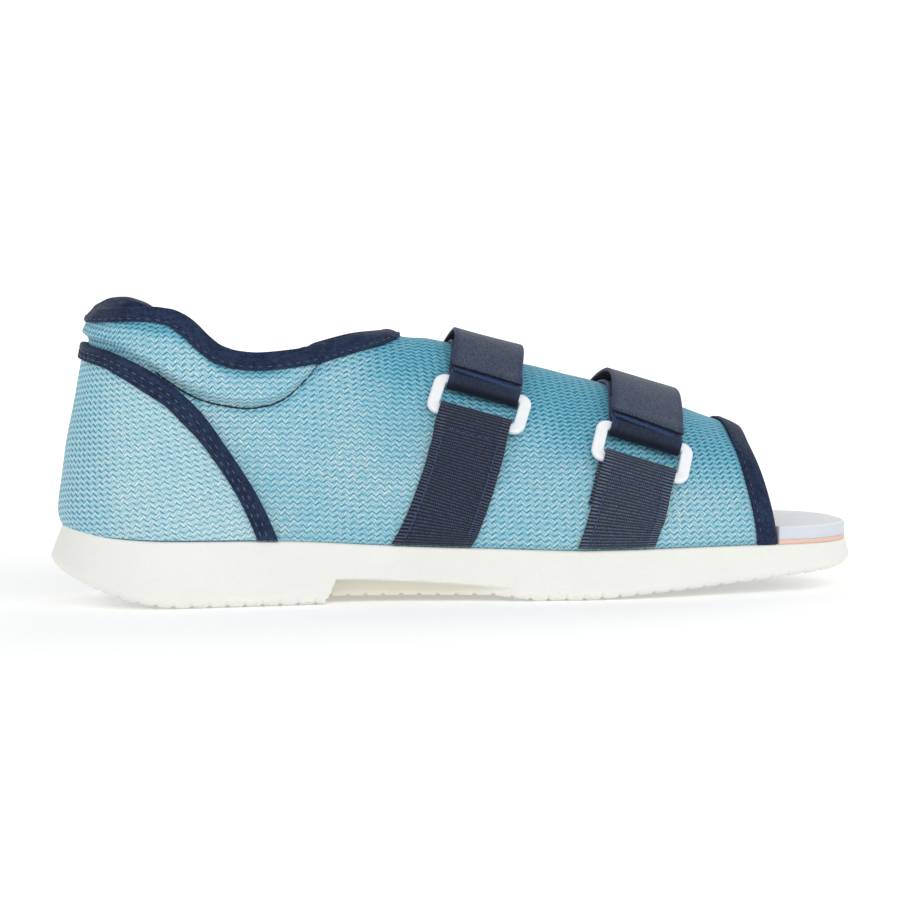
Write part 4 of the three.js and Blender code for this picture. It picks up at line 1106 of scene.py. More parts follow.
def build_outsole():
    """The sole as rings of points round its plan. Its weave coordinates hold how deep each is cut in."""
    stations = sole_stations()
    x, _ = plan_point(stations, 0)
    lowest, highest = sole_bottom(x) + BOTTOM_EDGE, sole_top(x) - TOP_EDGE
    # each row: share of the way up the side, extra inset, extra height
    rows = [(0, BOTTOM_EDGE * (1 - math.sin(a)), BOTTOM_EDGE * (1 - math.cos(a))) for a in arc(0, 90, 7)]
    rows += [(share, 0, 0) for share in np.linspace(0, 1, 26)[1:]]
    rows += [(1, TOP_EDGE * (1 - math.cos(a)), TOP_EDGE * math.sin(a)) for a in arc(15, 90, 6)]
    loops, marks = [], []
    for share, inset, lift in rows:
        px, py = plan_point(stations, inset + draft(x) * share)
        floor = tread_height(px)
        if share:
            z = np.maximum(mix(lowest, highest, share) + lift, floor + EDGE_LIFT)
            cut = recess(px, z)
        else:
            z = np.maximum(sole_bottom(px) + lift, floor + EDGE_LIFT * (lift > 0.1))
            z = np.maximum(z, floor + groove_depth(px))
            cut = recess(px, np.minimum(z, RECESS_HEIGHT * 0.4 * (lift > 0)))
        loops.append(np.stack([px, -np.maximum(py - cut, 0), z], -1))
        marks.append(np.stack([cut, groove_depth(px) * (z < ARCH_RISE * 1.5)], -1))
    shape = Shape().halves(np.stack(loops, 1), 16, np.stack(marks, 1))
    return shape.build("outsole_foam", [sole_foam], "sole", ["outsole"])


# Footbed
PLATFORM_X = TOE_OPENING + 2 * GAP + TAPE
WITHIN = FEATHER + WALL + TAPE + 2 * GAP
FOOTBED_EDGE = 0.4
SEAT = 0.02


def build_footbed(name, node, bottom, thickness, rounding, material, slot):
    side = np.linspace(HEEL_X, PLATFORM_X - 0.02, 90)[1:]
    front = np.linspace(PLATFORM_X + 0.5, TOE_X, 6)
    ends = heel_station(arc(90, 0, 30)), toe_station(arc(0, 90, 40))
    stations = np.concatenate([ends[0], side, [PLATFORM_X], front, ends[1]])
    outer, _ = plan_point(stations, 0)
    base = draft(outer) + np.where(outer < PLATFORM_X - 0.01, WITHIN, FOOTBED_EDGE)
    # each row: extra inset, height
    rows = [(0.15, 0), (0, 0.15), (0, thickness / 2), (0, thickness - rounding)]
    for a in arc(15, 90, 6):
        rows.append((rounding * (1 - math.cos(a)), thickness - rounding * (1 - math.sin(a))))
    loops = []
    for extra, height in rows:
        x, y = plan_point(stations, base + extra)
        loops.append(np.stack([x, -np.maximum(y, 0), sole_top(x) + bottom + height], -1))
    return Shape().halves(np.stack(loops, 1), 14).build(name, [material], slot, [node])


def seated(points):
    """Lets a lower edge down onto the sole."""
    above = points[..., 2] - sole_top(points[..., 0])
    points[..., 2] -= (GAP - SEAT) * (1 - smooth((above - GAP) / 0.5))
    return points


# Upper
def collar_stations(count, power=1.6):
    side = mix(COLLAR_FRONT, HEEL_X, np.linspace(0, 1, count) ** power)
    return np.concatenate([side, heel_station(arc(0, 90, count // 2)[1:])])


def upper_grid(stations, shares, far, face):
    """Points of the upper over stations and shares of the way up each rib."""
    u = stations[:, None]
    angle = side_angle(shares[None, :] * top_angle(u, far), far)
    at = leaned(u, angle)
    points = face(at, angle, 0.0)
    points[..., 2] = np.maximum(points[..., 2], sole_top(points[..., 0]) + GAP)
    return seated(points)


def build_upper():
    vamp = np.arange(TOE_OPENING - 1.2, COLLAR_FRONT + 1, -1.3)
    stations = np.concatenate([[TOE_OPENING], vamp, [COLLAR_FRONT + 0.4], collar_stations(84, 1.2)])
    fold = (180 * RAD - LAP_ANGLE) / (90 * RAD)
    step = LAP_STEP / (90 * RAD)
    plain = np.linspace(0, 1, 100) ** 1.15
    shares = np.sort(np.concatenate([plain, [fold, fold - step / 2, fold - step]]))
    crest = stations >= COLLAR_FRONT
    shape = Shape()
    for far in (False, True):
        outer = upper_grid(stations, shares, far, outer_face)
        inner = upper_grid(stations, shares[::2], far, inner_face)
        for points in (outer, inner):
            points[crest, -1, 1] = 0
        u = np.broadcast_to(stations[:, None], outer.shape[:2])
        shape.grid(outer, np.stack([u, grid_lengths(outer)[..., 1]], -1))
        shape.grid(inner, part=1)
        shape.strip(outer[:, 0], inner[:, 0], part=1)
        shape.strip(outer[0], np.repeat(inner[0], 2, 0)[: len(outer[0])], part=1)
        shape.strip(outer[~crest, -1], inner[~crest, -1], part=1)
    return shape.build("upper_mesh", [mesh_cloth, lining], "mesh", ["upper"])


# Heel counter and its tape: u in shares of the length, height in shares of COLLAR_HEIGHT
COUNTER = table(
    "at low_u low high_u high",
    (0, -0.5802, 0.822, -0.5802, 0.876),
    (0.22, -0.482, 0.797, -0.478, 0.853),
    (0.34, -0.43, 0.757, -0.424, 0.822),
    (0.43, -0.392, 0.709, -0.384, 0.782),
    (0.5, -0.366, 0.668, -0.357, 0.737),
    (0.555, -0.345, 0.608, -0.338, 0.69),
    (0.615, -0.324, 0.545, -0.319, 0.633),
    (0.685, -0.3076, 0.482, -0.3, 0.559),
    (0.76, -0.291, 0.411, -0.2817, 0.481),
    (0.835, -0.2763, 0.339, -0.263, 0.398),
    (0.915, -0.2637, 0.262, -0.246, 0.308),
    (1, -0.2565, 0.21, -0.231, 0.21),
)
low_u, low, high_u, high = (curve(COUNTER, name) for name in ("low_u", "low", "high_u", "high"))
COUNTER_COVERED = 0.45  # share of the tape's width that lies over the counter
COUNTER_OUTSIDE = 2 * GAP + COUNTER_THICKNESS


def counter_place(along, across):
    """u and height across the counter's tape, from its lower edge at 0 to its upper edge at 1."""
    u = np.maximum(LENGTH * mix(low_u(along), high_u(along), across), U_BACK)
    floor = sole_top(rib_foot(u)[0]) + 2 * GAP
    z = COLLAR_HEIGHT * mix(low(along), high(along), across)
    return u, np.where(along < 1, np.maximum(z, floor), floor)


def counter_face(along, across, far, offset):
    u, z = counter_place(along, across)
    return outer_face(u, side_angle(angle_at(u, z), far), offset)


def both_sides(section, alongs):
    """Stations from the sole on the near side, round the heel, to the sole on the far side."""
    near = section(alongs, False)[::-1]
    far = section(alongs[1:], True)
    return np.concatenate([near, far])


def build_counter():
    alongs = np.linspace(0, 1, 120)[:-1]
    shares = np.linspace(0, 1, 46) ** 1.2

    def face(offset):
        def section(along, far):
            u, z = counter_place(along[:, None], COUNTER_COVERED)
            foot = angle_at(u, foot_height(u) + GAP)
            angle = mix(foot, angle_at(u, z), shares[None, :])
            return outer_face(u, side_angle(angle, far), offset)

        return seated(both_sides(section, alongs))

    inner, outer = face(GAP), face(GAP + COUNTER_THICKNESS)
    coords = grid_lengths(outer, column=20)
    shape = Shape().grid(outer, coords).grid(inner, coords)
    for k in (0, -1):
        shape.strip(outer[:, k], inner[:, k]).strip(outer[k], inner[k])
    return shape.build("heel_counter_mesh", [counter_cloth], "mesh", ["heel_counter"])


def build_tape(name, points, node, closed=False):
    """A tape from the rings of its cross section. It closes in a loop or has flat ends."""
    coords = grid_lengths(points, closed, True)
    shape = Shape().grid(points, coords, close_rows=closed, close_columns=True)
    for end in () if closed else (points[0], points[-1]):
        shape.strip(end, np.broadcast_to(end.mean(0), end.shape), close_rows=True)
    return shape.build(name, [tape_cloth], "tape", [node])


# The outside of the counter's tape: share of its width, and swell, with a hollow at each row of stitches
COUNTER_STITCHES = (0.53, 0.235)
COUNTER_SWELL = (
    *((0.97, 0.1), (0.9, 0.32), (0.78, 0.36), (0.66, 0.26), (0.58, 0.05)),
    *((COUNTER_STITCHES[0], -0.12), (0.48, 0.02), (0.38, 0.1), (0.28, 0.02)),
    *((COUNTER_STITCHES[1], -0.14), (0.19, 0), (0.1, 0.06), (0.03, -0.1)),
)
COUNTER_PUCKER = 0.13


def build_counter_tape():
    over, proud = COUNTER_OUTSIDE, COUNTER_OUTSIDE + TAPE
    profile = [(0.02, over), (COUNTER_COVERED + 0.04, over), (COUNTER_COVERED + 0.14, GAP), (0.97, GAP)]
    profile += [(1, GAP + 0.25), (1, proud * 0.7)]
    profile += [(share, proud + swell) for share, swell in COUNTER_SWELL]
    profile += [(0, over + TAPE * 0.5)]
    across, height = np.array(profile).T[:, None, :]

    def section(along, far):
        along = along[:, None]
        wave = np.sin(along * 2 * np.pi * 38) + 0.7 * np.sin(along * 2 * np.pi * 61 + 1.3)
        pucker = COUNTER_PUCKER * wave * smooth((0.62 - across) / 0.1) * (height > over + 0.5)
        return counter_face(along, across, far, height + pucker)

    points = seated(both_sides(section, np.linspace(0, 1, 260)))
    return build_tape("counter_tape_cloth", points, "counter_tape")


# Collar tape
def collar_places():
    """u and angle round the collar's edge, from its front along the near side and back on the far side."""
    half = collar_stations(90, 1.3)
    near, far = half, half[1:-1][::-1]
    u = np.concatenate([near, far])
    is_far = np.arange(len(u)) >= len(near)
    return u, side_angle(top_angle(u, is_far), is_far)


def collar_frames():
    u, angle = collar_places()
    line = form_point(u, angle)
    direction = unit(np.roll(line, -1, 0) - np.roll(line, 1, 0))
    outside, inside = outer_face(u, angle, 0.0), inner_face(u, angle, 0.0)
    through = unit(outside - inside)
    down = unit(np.cross(through, direction))
    width = COLLAR_TAPE_WIDTH * tape_share(collar_share(u))
    across = np.cross(form_normal(u, angle), direction) * width[:, None]
    return u, angle, outside, inside, through, down, across


def collar_down(frames, share, offset, face):
    """Points a share of the tape's width below the collar's edge."""
    u, angle, _, _, _, _, across = frames
    for _ in range(2):
        u, angle = slide(u, angle, across * share / 2)
    return face(u, angle, offset)


# The outside of the collar's tape: share of its width, and swell, with a hollow where it is stitched
COLLAR_SWELL = (
    *((0.12, 0.12), (0.3, 0.22), (0.5, 0.16), (0.66, 0.02), (0.76, -0.22)),
    *((0.82, -0.05), (0.9, 0), (0.97, -0.15), (1, -0.5)),
)
COLLAR_STITCHES = 0.77
COLLAR_PUCKER = 0.07
COLLAR_PUCKER_PITCH = 3.2


def build_collar_tape():
    frames = collar_frames()
    _, _, outside, inside, through, down, _ = frames
    cover = COLLAR_TAPE_GAP + TAPE
    pucker = COLLAR_PUCKER * np.sin(lengths_along(outside) * 2 * np.pi / COLLAR_PUCKER_PITCH)

    def rim(beyond, lift):
        start = inside if beyond < 0 else outside
        return start + through * beyond - down * lift

    def lower(shares, offset, face):
        return [collar_down(frames, share, offset, face) for share in shares]

    columns = lower((0.98, 0.6, 0.25), COLLAR_TAPE_GAP, outer_face)
    columns += [rim(COLLAR_TAPE_GAP, COLLAR_TAPE_GAP), rim(-INSIDE_GAP, COLLAR_TAPE_GAP)]
    columns += lower((0.4, 0.98), INSIDE_GAP, inner_face)
    columns += lower((0.96, 0.6, 0.3), INSIDE_GAP + TAPE, inner_face)
    columns += [rim(-INSIDE_GAP - TAPE, 0.1), rim(-INSIDE_GAP - TAPE * 0.6, 0.8), rim(0.001, cover)]
    columns += [rim(0.6, cover - 0.15), rim(cover - 0.3, 0.7)]
    for share, swell in COLLAR_SWELL:
        wave = pucker * smooth((share - 0.35) / 0.3)
        columns += lower((share,), cover + swell + wave, outer_face)
    return build_tape("collar_tape_cloth", np.stack(columns, 1), "collar_tape", closed=True)


# Toe tape: share of its width behind the opening, and swell, with a hollow where it is stitched
TOE_STITCHES = 0.79
TOE_SWELL = (
    *((0.3, 0.2), (0.55, 0.16), (0.72, 0), (TOE_STITCHES, -0.2)),
    *((0.85, -0.02), (0.95, -0.1), (1, -0.45)),
)


def toe_edge(first, behind=0.0):
    """u and angle along the toe's opening, from a share of the way up one side to the other's foot."""
    angle = np.linspace(first, 1, 110) * 90 * RAD
    angle = np.concatenate([angle, side_angle(angle[:-1], True)[::-1]])
    return leaned(np.full_like(angle, TOE_OPENING), angle) - behind, angle


def build_toe_tape():
    u, angle = toe_edge(0)
    wide, cover = TOE_TAPE_WIDTH, GAP + TAPE
    bare = [(-wide * 0.98, GAP), (-wide / 2, GAP), (GAP, GAP)]
    within = [(GAP, GAP), (-wide * 0.8, GAP), (-wide * 0.8, cover), (-wide * 0.4, cover), (0.2, cover)]
    within += [(cover * 0.7, 0.6), (cover, -0.4)]
    outside = [(cover, -0.4), (cover * 0.75, 0.55), (0.2, cover + 0.05)]
    outside += [(-wide * share, cover + swell) for share, swell in TOE_SWELL]
    columns = []
    for face, profile in ((outer_face, bare), (inner_face, within), (outer_face, outside)):
        for ahead, offset in profile:
            point = face(u + ahead, angle, offset)
            point[:, 2] = np.maximum(point[:, 2], sole_top(point[:, 0]) + GAP)
            columns.append(point)
    return build_tape("toe_tape_cloth", seated(np.stack(columns, 1)), "toe_tape")


# Straps
STRAPS = {
    "rear": dict(foot=0.4535, crest=0.543, ring=0.59, sweep=0.7, tilt=4 * RAD, cut=0.07, drift=(-0.3, 0.4)),
    "front": dict(foot=0.676, crest=0.7355, ring=0.41, sweep=0.8, tilt=2 * RAD, cut=0.09, drift=(-1.1, 0.6)),
}
FOOT_SKEW = 22
STEEP = 3 * RAD
RING_PITCH = RING_SLOT + RING_BAR
RING_LIFT = 2 * GAP + WEBBING + RING_SLACK + RING_THICKNESS / 2
RING_HOLD = 9
RING_RELEASE = 8


class Track:
    """A strap's way over the upper, from the sole on the near side to the sole on the far side."""

    def __init__(self, strap):
        self.strap = strap
        self.angles = np.linspace(0, 180 * RAD, 121)
        points = smooth_face(self.centre(self.angles), self.angles, 0.0)
        self.lengths = lengths_along(points)
        self.total = self.lengths[-1]
        self.rings = [self.ring(far) for far in (False, True)]

    def centre(self, angle):
        s = self.strap
        return share_x(mix(s["foot"], s["crest"], np.sin(angle) ** s["sweep"]))

    def on_form(self, length, across, offset):
        length, across, offset = same_shape(length, across, offset)
        angle = np.interp(np.clip(length, 0, self.total), self.lengths, self.angles)
        u = self.centre(angle)
        da = 0.5 * RAD
        lean = np.clip(angle, STEEP, 180 * RAD - STEEP)
        after, before = (form_point(self.centre(a), a) for a in (lean + da, lean - da))
        square = unit(np.cross(unit(after - before), form_normal(u, angle)))
        level = unit(form_point(u + da, angle) - form_point(u - da, angle))
        turned = smooth(np.minimum(length, self.total - length) / FOOT_SKEW)[..., None]
        sideways = unit(mix(level, square, turned))
        sideways = sideways * (across / (sideways * square).sum(-1) / 2)[..., None]
        for _ in range(2):
            u, angle = slide(u, angle, sideways)
        return smooth_face(u, angle, offset)

    def ring(self, far):
        reach_share = self.strap["ring"] * self.total / 2
        middle = self.total - reach_share if far else reach_share

        def bar(reach):
            return self.on_form(middle + reach, 0.0, RING_LIFT)

        reach = RING_PITCH / 2
        for _ in range(4):
            reach *= RING_PITCH / np.linalg.norm(bar(reach) - bar(-reach))
        up = unit(bar(reach) - bar(-reach))
        centre = (bar(reach) + bar(-reach)) / 2
        half = STRAP_WIDTH / 2
        across = unit(self.on_form(middle, half, RING_LIFT) - self.on_form(middle, -half, RING_LIFT))
        normal = unit(np.cross(across, up))
        side = np.cross(up, normal)
        tilt = 0 if far else self.strap["tilt"]
        side, up = (
            side * math.cos(tilt) - up * math.sin(tilt),
            side * math.sin(tilt) + up * math.cos(tilt),
        )
        axes = np.stack([side, up, normal])
        return {"middle": middle, "stretch": RING_PITCH / 2 / reach, "axes": axes, "centre": centre}

    def place(self, length, across, offset):
        length, across, offset = same_shape(length, across, offset)
        point = self.on_form(length, across, offset)
        for ring in self.rings:
            y = (length - ring["middle"]) * ring["stretch"]
            hold = 1 - smooth((np.abs(y) - RING_HOLD) / RING_RELEASE)
            local = np.stack([across, y, offset - RING_LIFT], -1)
            held = local @ ring["axes"] + ring["centre"]
            point = mix(point, held, hold[..., None])
        return point

    def length(self, y, far):
        """Length along the track at a ring's own y."""
        ring = self.rings[far]
        return ring["middle"] + (-1 if far else 1) * y / ring["stretch"]

    def length_from(self, far):
        """Turns points in a ring's own y and height into points in length and height."""
        return lambda line: [[self.length(y, far), height] for y, height in line]

    def foot(self):
        """The near foot's distance from its ring, in the ring's own y."""
        return self.rings[0]["middle"] * self.rings[0]["stretch"]


def rounded_loop(width, height, radius, count=9):
    """Points of a rounded rectangle, with the same count for any size."""
    w, h = width / 2 - radius, height / 2 - radius
    points = []
    for corner, (cx, cy) in enumerate(((w, -h), (w, h), (-w, h), (-w, -h))):
        angle = arc(-90, 0, count) + 90 * corner * RAD
        points.append(np.stack([cx + radius * np.cos(angle), cy + radius * np.sin(angle)], -1))
    return np.concatenate(points)


RING_HOLE_WIDTH = STRAP_WIDTH + 1.2
RING_BEVEL = 0.75
RING_HOLE_BEVEL = 0.7  # as a share of the outer one


def build_ring(name, way, far):
    bevel, top = [], []
    for a in arc(0, 90, 6):
        bevel.append((RING_BEVEL * (1 - math.cos(a)), RING_THICKNESS / 2 - RING_BEVEL * (1 - math.sin(a))))
    for grow, z in bevel:
        width, height = RING_HOLE_WIDTH + 2 * (RING_END - grow), RING_SLOT + 2 * (RING_BAR - grow)
        top.append((rounded_loop(width, height, RING_CORNER - grow), z))
    for grow, z in reversed(bevel):
        grow *= RING_HOLE_BEVEL
        hole = rounded_loop(RING_HOLE_WIDTH + 2 * grow, RING_SLOT + 2 * grow, RING_HOLE_CORNER + grow)
        top.append((hole, z))
    layers = [*top, *((loop, -z) for loop, z in reversed(top))]
    loops = [np.column_stack([loop, np.full(len(loop), z)]) for loop, z in layers]
    points = np.stack(loops) @ way.rings[far]["axes"] + way.rings[far]["centre"]
    shape = Shape().grid(points, close_rows=True, close_columns=True)
    return shape.build(f"{name}_plastic", [ring_plastic], "ring", [name])


RUN_STEP = 2.0


def filled(line):
    """A line with points close enough to follow the upper's curve."""
    line = [list(point) for point in line]
    out = [line[0]]
    for a, b in zip(line, line[1:]):
        count = max(1, math.ceil(abs(b[0] - a[0]) / RUN_STEP))
        out += [[mix(a[0], b[0], k / count), mix(a[1], b[1], k / count)] for k in range(1, count + 1)]
    return out


def thicken(line, thickness):
    """Both sides of a centre line, each with the same count of points."""
    line = np.array(line)
    direction = np.zeros_like(line)
    direction[1:-1] = line[2:] - line[:-2]
    direction[0], direction[-1] = line[1] - line[0], line[-1] - line[-2]
    direction /= np.linalg.norm(direction, axis=1, keepdims=True)
    square = np.column_stack([-direction[:, 1], direction[:, 0]])
    return line + square * thickness / 2, line - square * thickness / 2


TURN_SQUARE = 0.8


def turn_line(bar_y, thickness, start, end):
    """The turn of a band round a ring's bar, in the ring's own y and height over the upper."""
    reach = RING_BAR / 2 + GAP + thickness / 2
    rise = RING_THICKNESS / 2 + GAP + thickness / 2
    angle = arc(start, end, 19)
    y = bar_y + reach * signed_power(np.cos(angle), TURN_SQUARE)
    return np.column_stack([y, RING_LIFT + rise * signed_power(np.sin(angle), TURN_SQUARE)])


# Rounding of a band's long edges: distance from the edge, and share of the thickness there
BAND_EDGE = ((0, 0.35), (0.12, 0.75), (0.35, 1))
BAND_INNER = 1.2


def build_band(name, way, line, width, thickness, materials, slot, node, drift=0.0, slant=0.0, parts=0):
    """A band along a line of length and height, with rounded edges.

    drift moves each row sideways, slant turns it, and parts gives each row's material.
    """
    inner = np.linspace(BAND_INNER - width / 2, width / 2 - BAND_INNER, 11)
    edge = [(-width / 2 + d, share) for d, share in BAND_EDGE]
    layers = edge + [(a, 1) for a in inner] + [(-a, share) for a, share in reversed(edge)]
    faces = [], []
    for across, share in layers:
        for face, side in zip(faces, thicken(line, thickness * share)):
            face.append(way.place(side[:, 0] + slant * across, across + drift, side[:, 1]))
    top, bottom = (seated(np.stack(face, 1)) for face in faces)
    along = lengths_along(top[:, top.shape[1] // 2])
    coords = np.stack(np.meshgrid(along, [across for across, _ in layers], indexing="ij"), -1)
    shape = Shape().grid(top, coords, part=parts).grid(bottom, coords, part=parts)
    for k in (0, -1):
        shape.strip(top[:, k], bottom[:, k], coords[:, [k, k]], part=parts)
        shape.strip(top[k], bottom[k], coords[k][:, None].repeat(2, 1))
    return shape.build(name, materials, slot, [node])


def folded_drift(line, amount):
    """The folded back end of a webbing lies a little to one side of it."""
    rows = np.arange(len(line))
    turn_row = int(np.argmin(np.abs(np.array(line)[:, 1] - RING_LIFT) + (rows < len(line) / 3) * 99))
    return amount * smooth((rows - turn_row) / 8)


def roll_parts(line, way):
    """1 for the rows of a strap that roll round its near ring, and 0 for the rest."""
    rows = np.arange(len(line) - 1)
    lengths = np.array(line)[:-1, 0]
    return ((rows < len(line) / 3) & (lengths < way.rings[0]["middle"] + BAR_Y + TAIL + 3)).astype(int)


def rings_round(line, side, out, radius, count):
    """Rings of points round a line, in the plane of two directions at each of its points."""
    angle = np.linspace(0, 2 * np.pi, count, endpoint=False)[None, :, None]
    around = side[:, None] * np.cos(angle) + out[:, None] * np.sin(angle)
    return line[:, None] + radius[:, None, None] * around


HOOK_RADIUS = 0.12
HOOK_COUNT = 900
HOOK_SEED = 7


def fuzz(name, way, count, material):
    """Hooks that stand out along the end of the patch under the strap's free end."""
    random = np.random.default_rng(HOOK_SEED)
    across = random.uniform(-STRAP_WIDTH * 0.46, STRAP_WIDTH * 0.46, count)
    share = random.uniform(0, 1, count) ** 1.5
    start = way.length(FLAP_END - HOOK_PROUD * (1 - share), False) - way.strap["cut"] * across
    height = HOOKED + HOOK_LIFT * (1 - share) + HOOK / 2 - random.uniform(0.05, 0.4, count)
    reach = random.uniform(0.3, 0.9, count)
    lean = np.stack([random.uniform(-0.5, 0.5, count), random.uniform(0.1, 0.8, count)])
    steps = np.linspace(0, 1, 5)[:, None]
    centre = way.place(
        start - reach * steps * (1.4 - 0.4 * steps),
        across + lean[0] * steps**2,
        height + lean[1] * steps**2 * 0.8,
    )
    shape = Shape()
    for line in np.moveaxis(centre, 1, 0):
        along = unit(np.gradient(line, axis=0))
        side = unit(np.cross(along, [0.3, 0.2, 1.0]))
        hook = rings_round(line, side, np.cross(along, side), HOOK_RADIUS * (1 - 0.5 * steps[:, 0]), 4)
        shape.grid(hook, close_columns=True)
    return shape.build(name, [material], "tape", merge=1e-4)


def webbing_line(way, far):
    bar = -RING_PITCH / 2
    under = GAP + WEBBING / 2
    over = under + WEBBING + GAP
    fold_end = bar - FOLD_BACK
    line = [
        [GAP - way.foot(), under],
        [fold_end - 4, under],
        [fold_end - 1, over],
        [bar - RING_BAR * 1.8, over],
        *turn_line(bar, WEBBING, 110, -90),
        [bar - RING_BAR * 0.9, under],
        [fold_end + 1, under],
    ]
    return way.length_from(far)(filled(line))


FIRST = GAP + STRAP / 2
SECOND = FIRST + STRAP + GAP
HOOKED = SECOND + STRAP / 2 + GAP + HOOK / 2
THIRD = HOOKED + HOOK / 2 + GAP + STRAP / 2
BAR_Y = RING_PITCH / 2
TAIL_START = BAR_Y + RING_BAR * 2
FLAP_END = BAR_Y + RING_BAR * 1.7
HOOK_PROUD = 3.1
HOOK_LIFT = 1.7


def strap_line(way):
    near, far = way.length_from(False), way.length_from(True)
    loop = turn_line(-BAR_Y, STRAP, 110, -90) * [-1, 1]
    half = way.total / 2
    line = [
        *near([[BAR_Y + TAIL, SECOND], [TAIL_START, SECOND]]),
        *near(loop),
        *near([[BAR_Y + RING_BAR * 1.2, FIRST]]),
        [half, FIRST],
        *far([[BAR_Y + RING_BAR * 1.2, FIRST]]),
        *far(loop[::-1]),
        *far([[TAIL_START, SECOND]]),
        [half, THIRD],
        *near([[BAR_Y + TAIL, THIRD], [FLAP_END, THIRD]]),
    ]
    return filled(line)


def hook_line(way):
    """The patch's end lies on the roll of the strap, ahead of the free end."""
    near = way.length_from(False)
    lip = [[FLAP_END - HOOK_PROUD, HOOKED + HOOK_LIFT], [FLAP_END - 0.3, HOOKED + 0.1]]
    return filled(near([*lip, [TAIL_START + 1, HOOKED], [TAIL_START + HOOK_LENGTH, HOOKED]]))


# Stitching: short threads that dip into the cloth at both ends
STITCH_WANDER = 0.3


def stitches(name, lines, pitch, length, radius, material, slot="tape", phase=0.0):
    """Rows of stitches along lines of points, each with its outward normals."""
    steps = np.linspace(0, 1, 7)
    arch = np.sin(np.pi * steps)
    shape = Shape()
    for points, normals in lines:
        run = lengths_along(points)
        for start in np.arange(pitch / 2, run[-1] - pitch - length, pitch):
            s = start + phase + STITCH_WANDER * math.sin(1.9 * start) + steps * length
            centre = np.stack([np.interp(s, run, points[:, k]) for k in range(3)], -1)
            out = unit(np.stack([np.interp(s, run, normals[:, k]) for k in range(3)], -1))
            centre = centre + out * (radius * (1.3 * arch - 0.9))[:, None]
            along = unit(np.gradient(centre, axis=0))
            side = unit(np.cross(along, out))
            out = unit(np.cross(side, along))
            thread = rings_round(centre, side * 1.1, out, radius * (0.45 + 0.55 * arch), 6)
            shape.grid(thread, close_columns=True)
    return shape.build(name, [material], slot, merge=1e-4)


def collar_stitch_line():
    frames = collar_frames()
    points = collar_down(frames, COLLAR_STITCHES, COLLAR_TAPE_GAP + TAPE - 0.1, outer_face)
    normals = form_normal(frames[0], frames[1])
    return [(np.concatenate([points, points[:1]]), np.concatenate([normals, normals[:1]]))]


def counter_stitch_lines():
    alongs = np.linspace(0, 0.995, 240)
    lines = []
    for across in reversed(COUNTER_STITCHES):

        def section(along, far):
            return counter_face(along, across, far, COUNTER_OUTSIDE + TAPE + 0.02)

        def facing(along, far):
            u, z = counter_place(along, across)
            return form_normal(u, side_angle(angle_at(u, z), far))

        lines.append((both_sides(section, alongs), both_sides(facing, alongs)))
    return lines


def toe_stitch_line():
    u, angle = toe_edge(0.03, TOE_TAPE_WIDTH * TOE_STITCHES)
    return [(outer_face(u, angle, GAP + TAPE - 0.05), form_normal(u, angle))]


def lap_stitch_line():
    """One row inside the edge of the lap, from the collar tape to the toe tape."""
    u = np.linspace(COLLAR_FRONT + LAP_FADE, TOE_OPENING - LAP_FADE, 120)
    angle = np.full_like(u, LAP_ANGLE - 3.5 * RAD)
    return [(outer_face(u, angle, 0.12), form_normal(u, angle))]


SEAM_HIDDEN = 3.6  # how far the seam runs up under the collar tape


def seam_lines():
    """Seam under the collar's padding, on both sides, from the collar tape to the counter's tape."""
    lines = []
    for far in (False, True):
        u = np.linspace(SEAM_FRONT - 3.5, SEAM_BACK + 2, 90)
        u = u[collar_top(u, far) - collar_seam(u) > SEAM_HIDDEN]
        angle = side_angle(angle_at(u, collar_seam(u)), far)
        lines.append((outer_face(u, angle, 0.4), form_normal(u, angle)))
    return lines


def webbing_stitch_lines(way, far):
    """A box of stitches through the webbing's doubled end, and rows along its edges to the sole."""
    single, doubled = GAP + WEBBING + 0.2, 2 * (GAP + WEBBING) + 0.25
    top, low = -RING_PITCH / 2 - RING_BAR * 1.95, 1.5 - way.foot()
    side = STRAP_WIDTH / 2 - 3
    box = [(low, -side), (top, -side), (top, side), (low, side)]
    t = np.linspace(0, 1, 60)
    lines = []
    for (y0, a0), (y1, a1) in zip(box, box[1:]):
        y, across = mix(y0, y1, t), mix(a0, a1, t)
        offset = mix(single, doubled, smooth((y + RING_PITCH / 2 + FOLD_BACK + 4) / 3))
        points, above = (way.place(way.length(y, far), across, offset + out) for out in (0, 1))
        lines.append((points, unit(above - points)))
    return lines


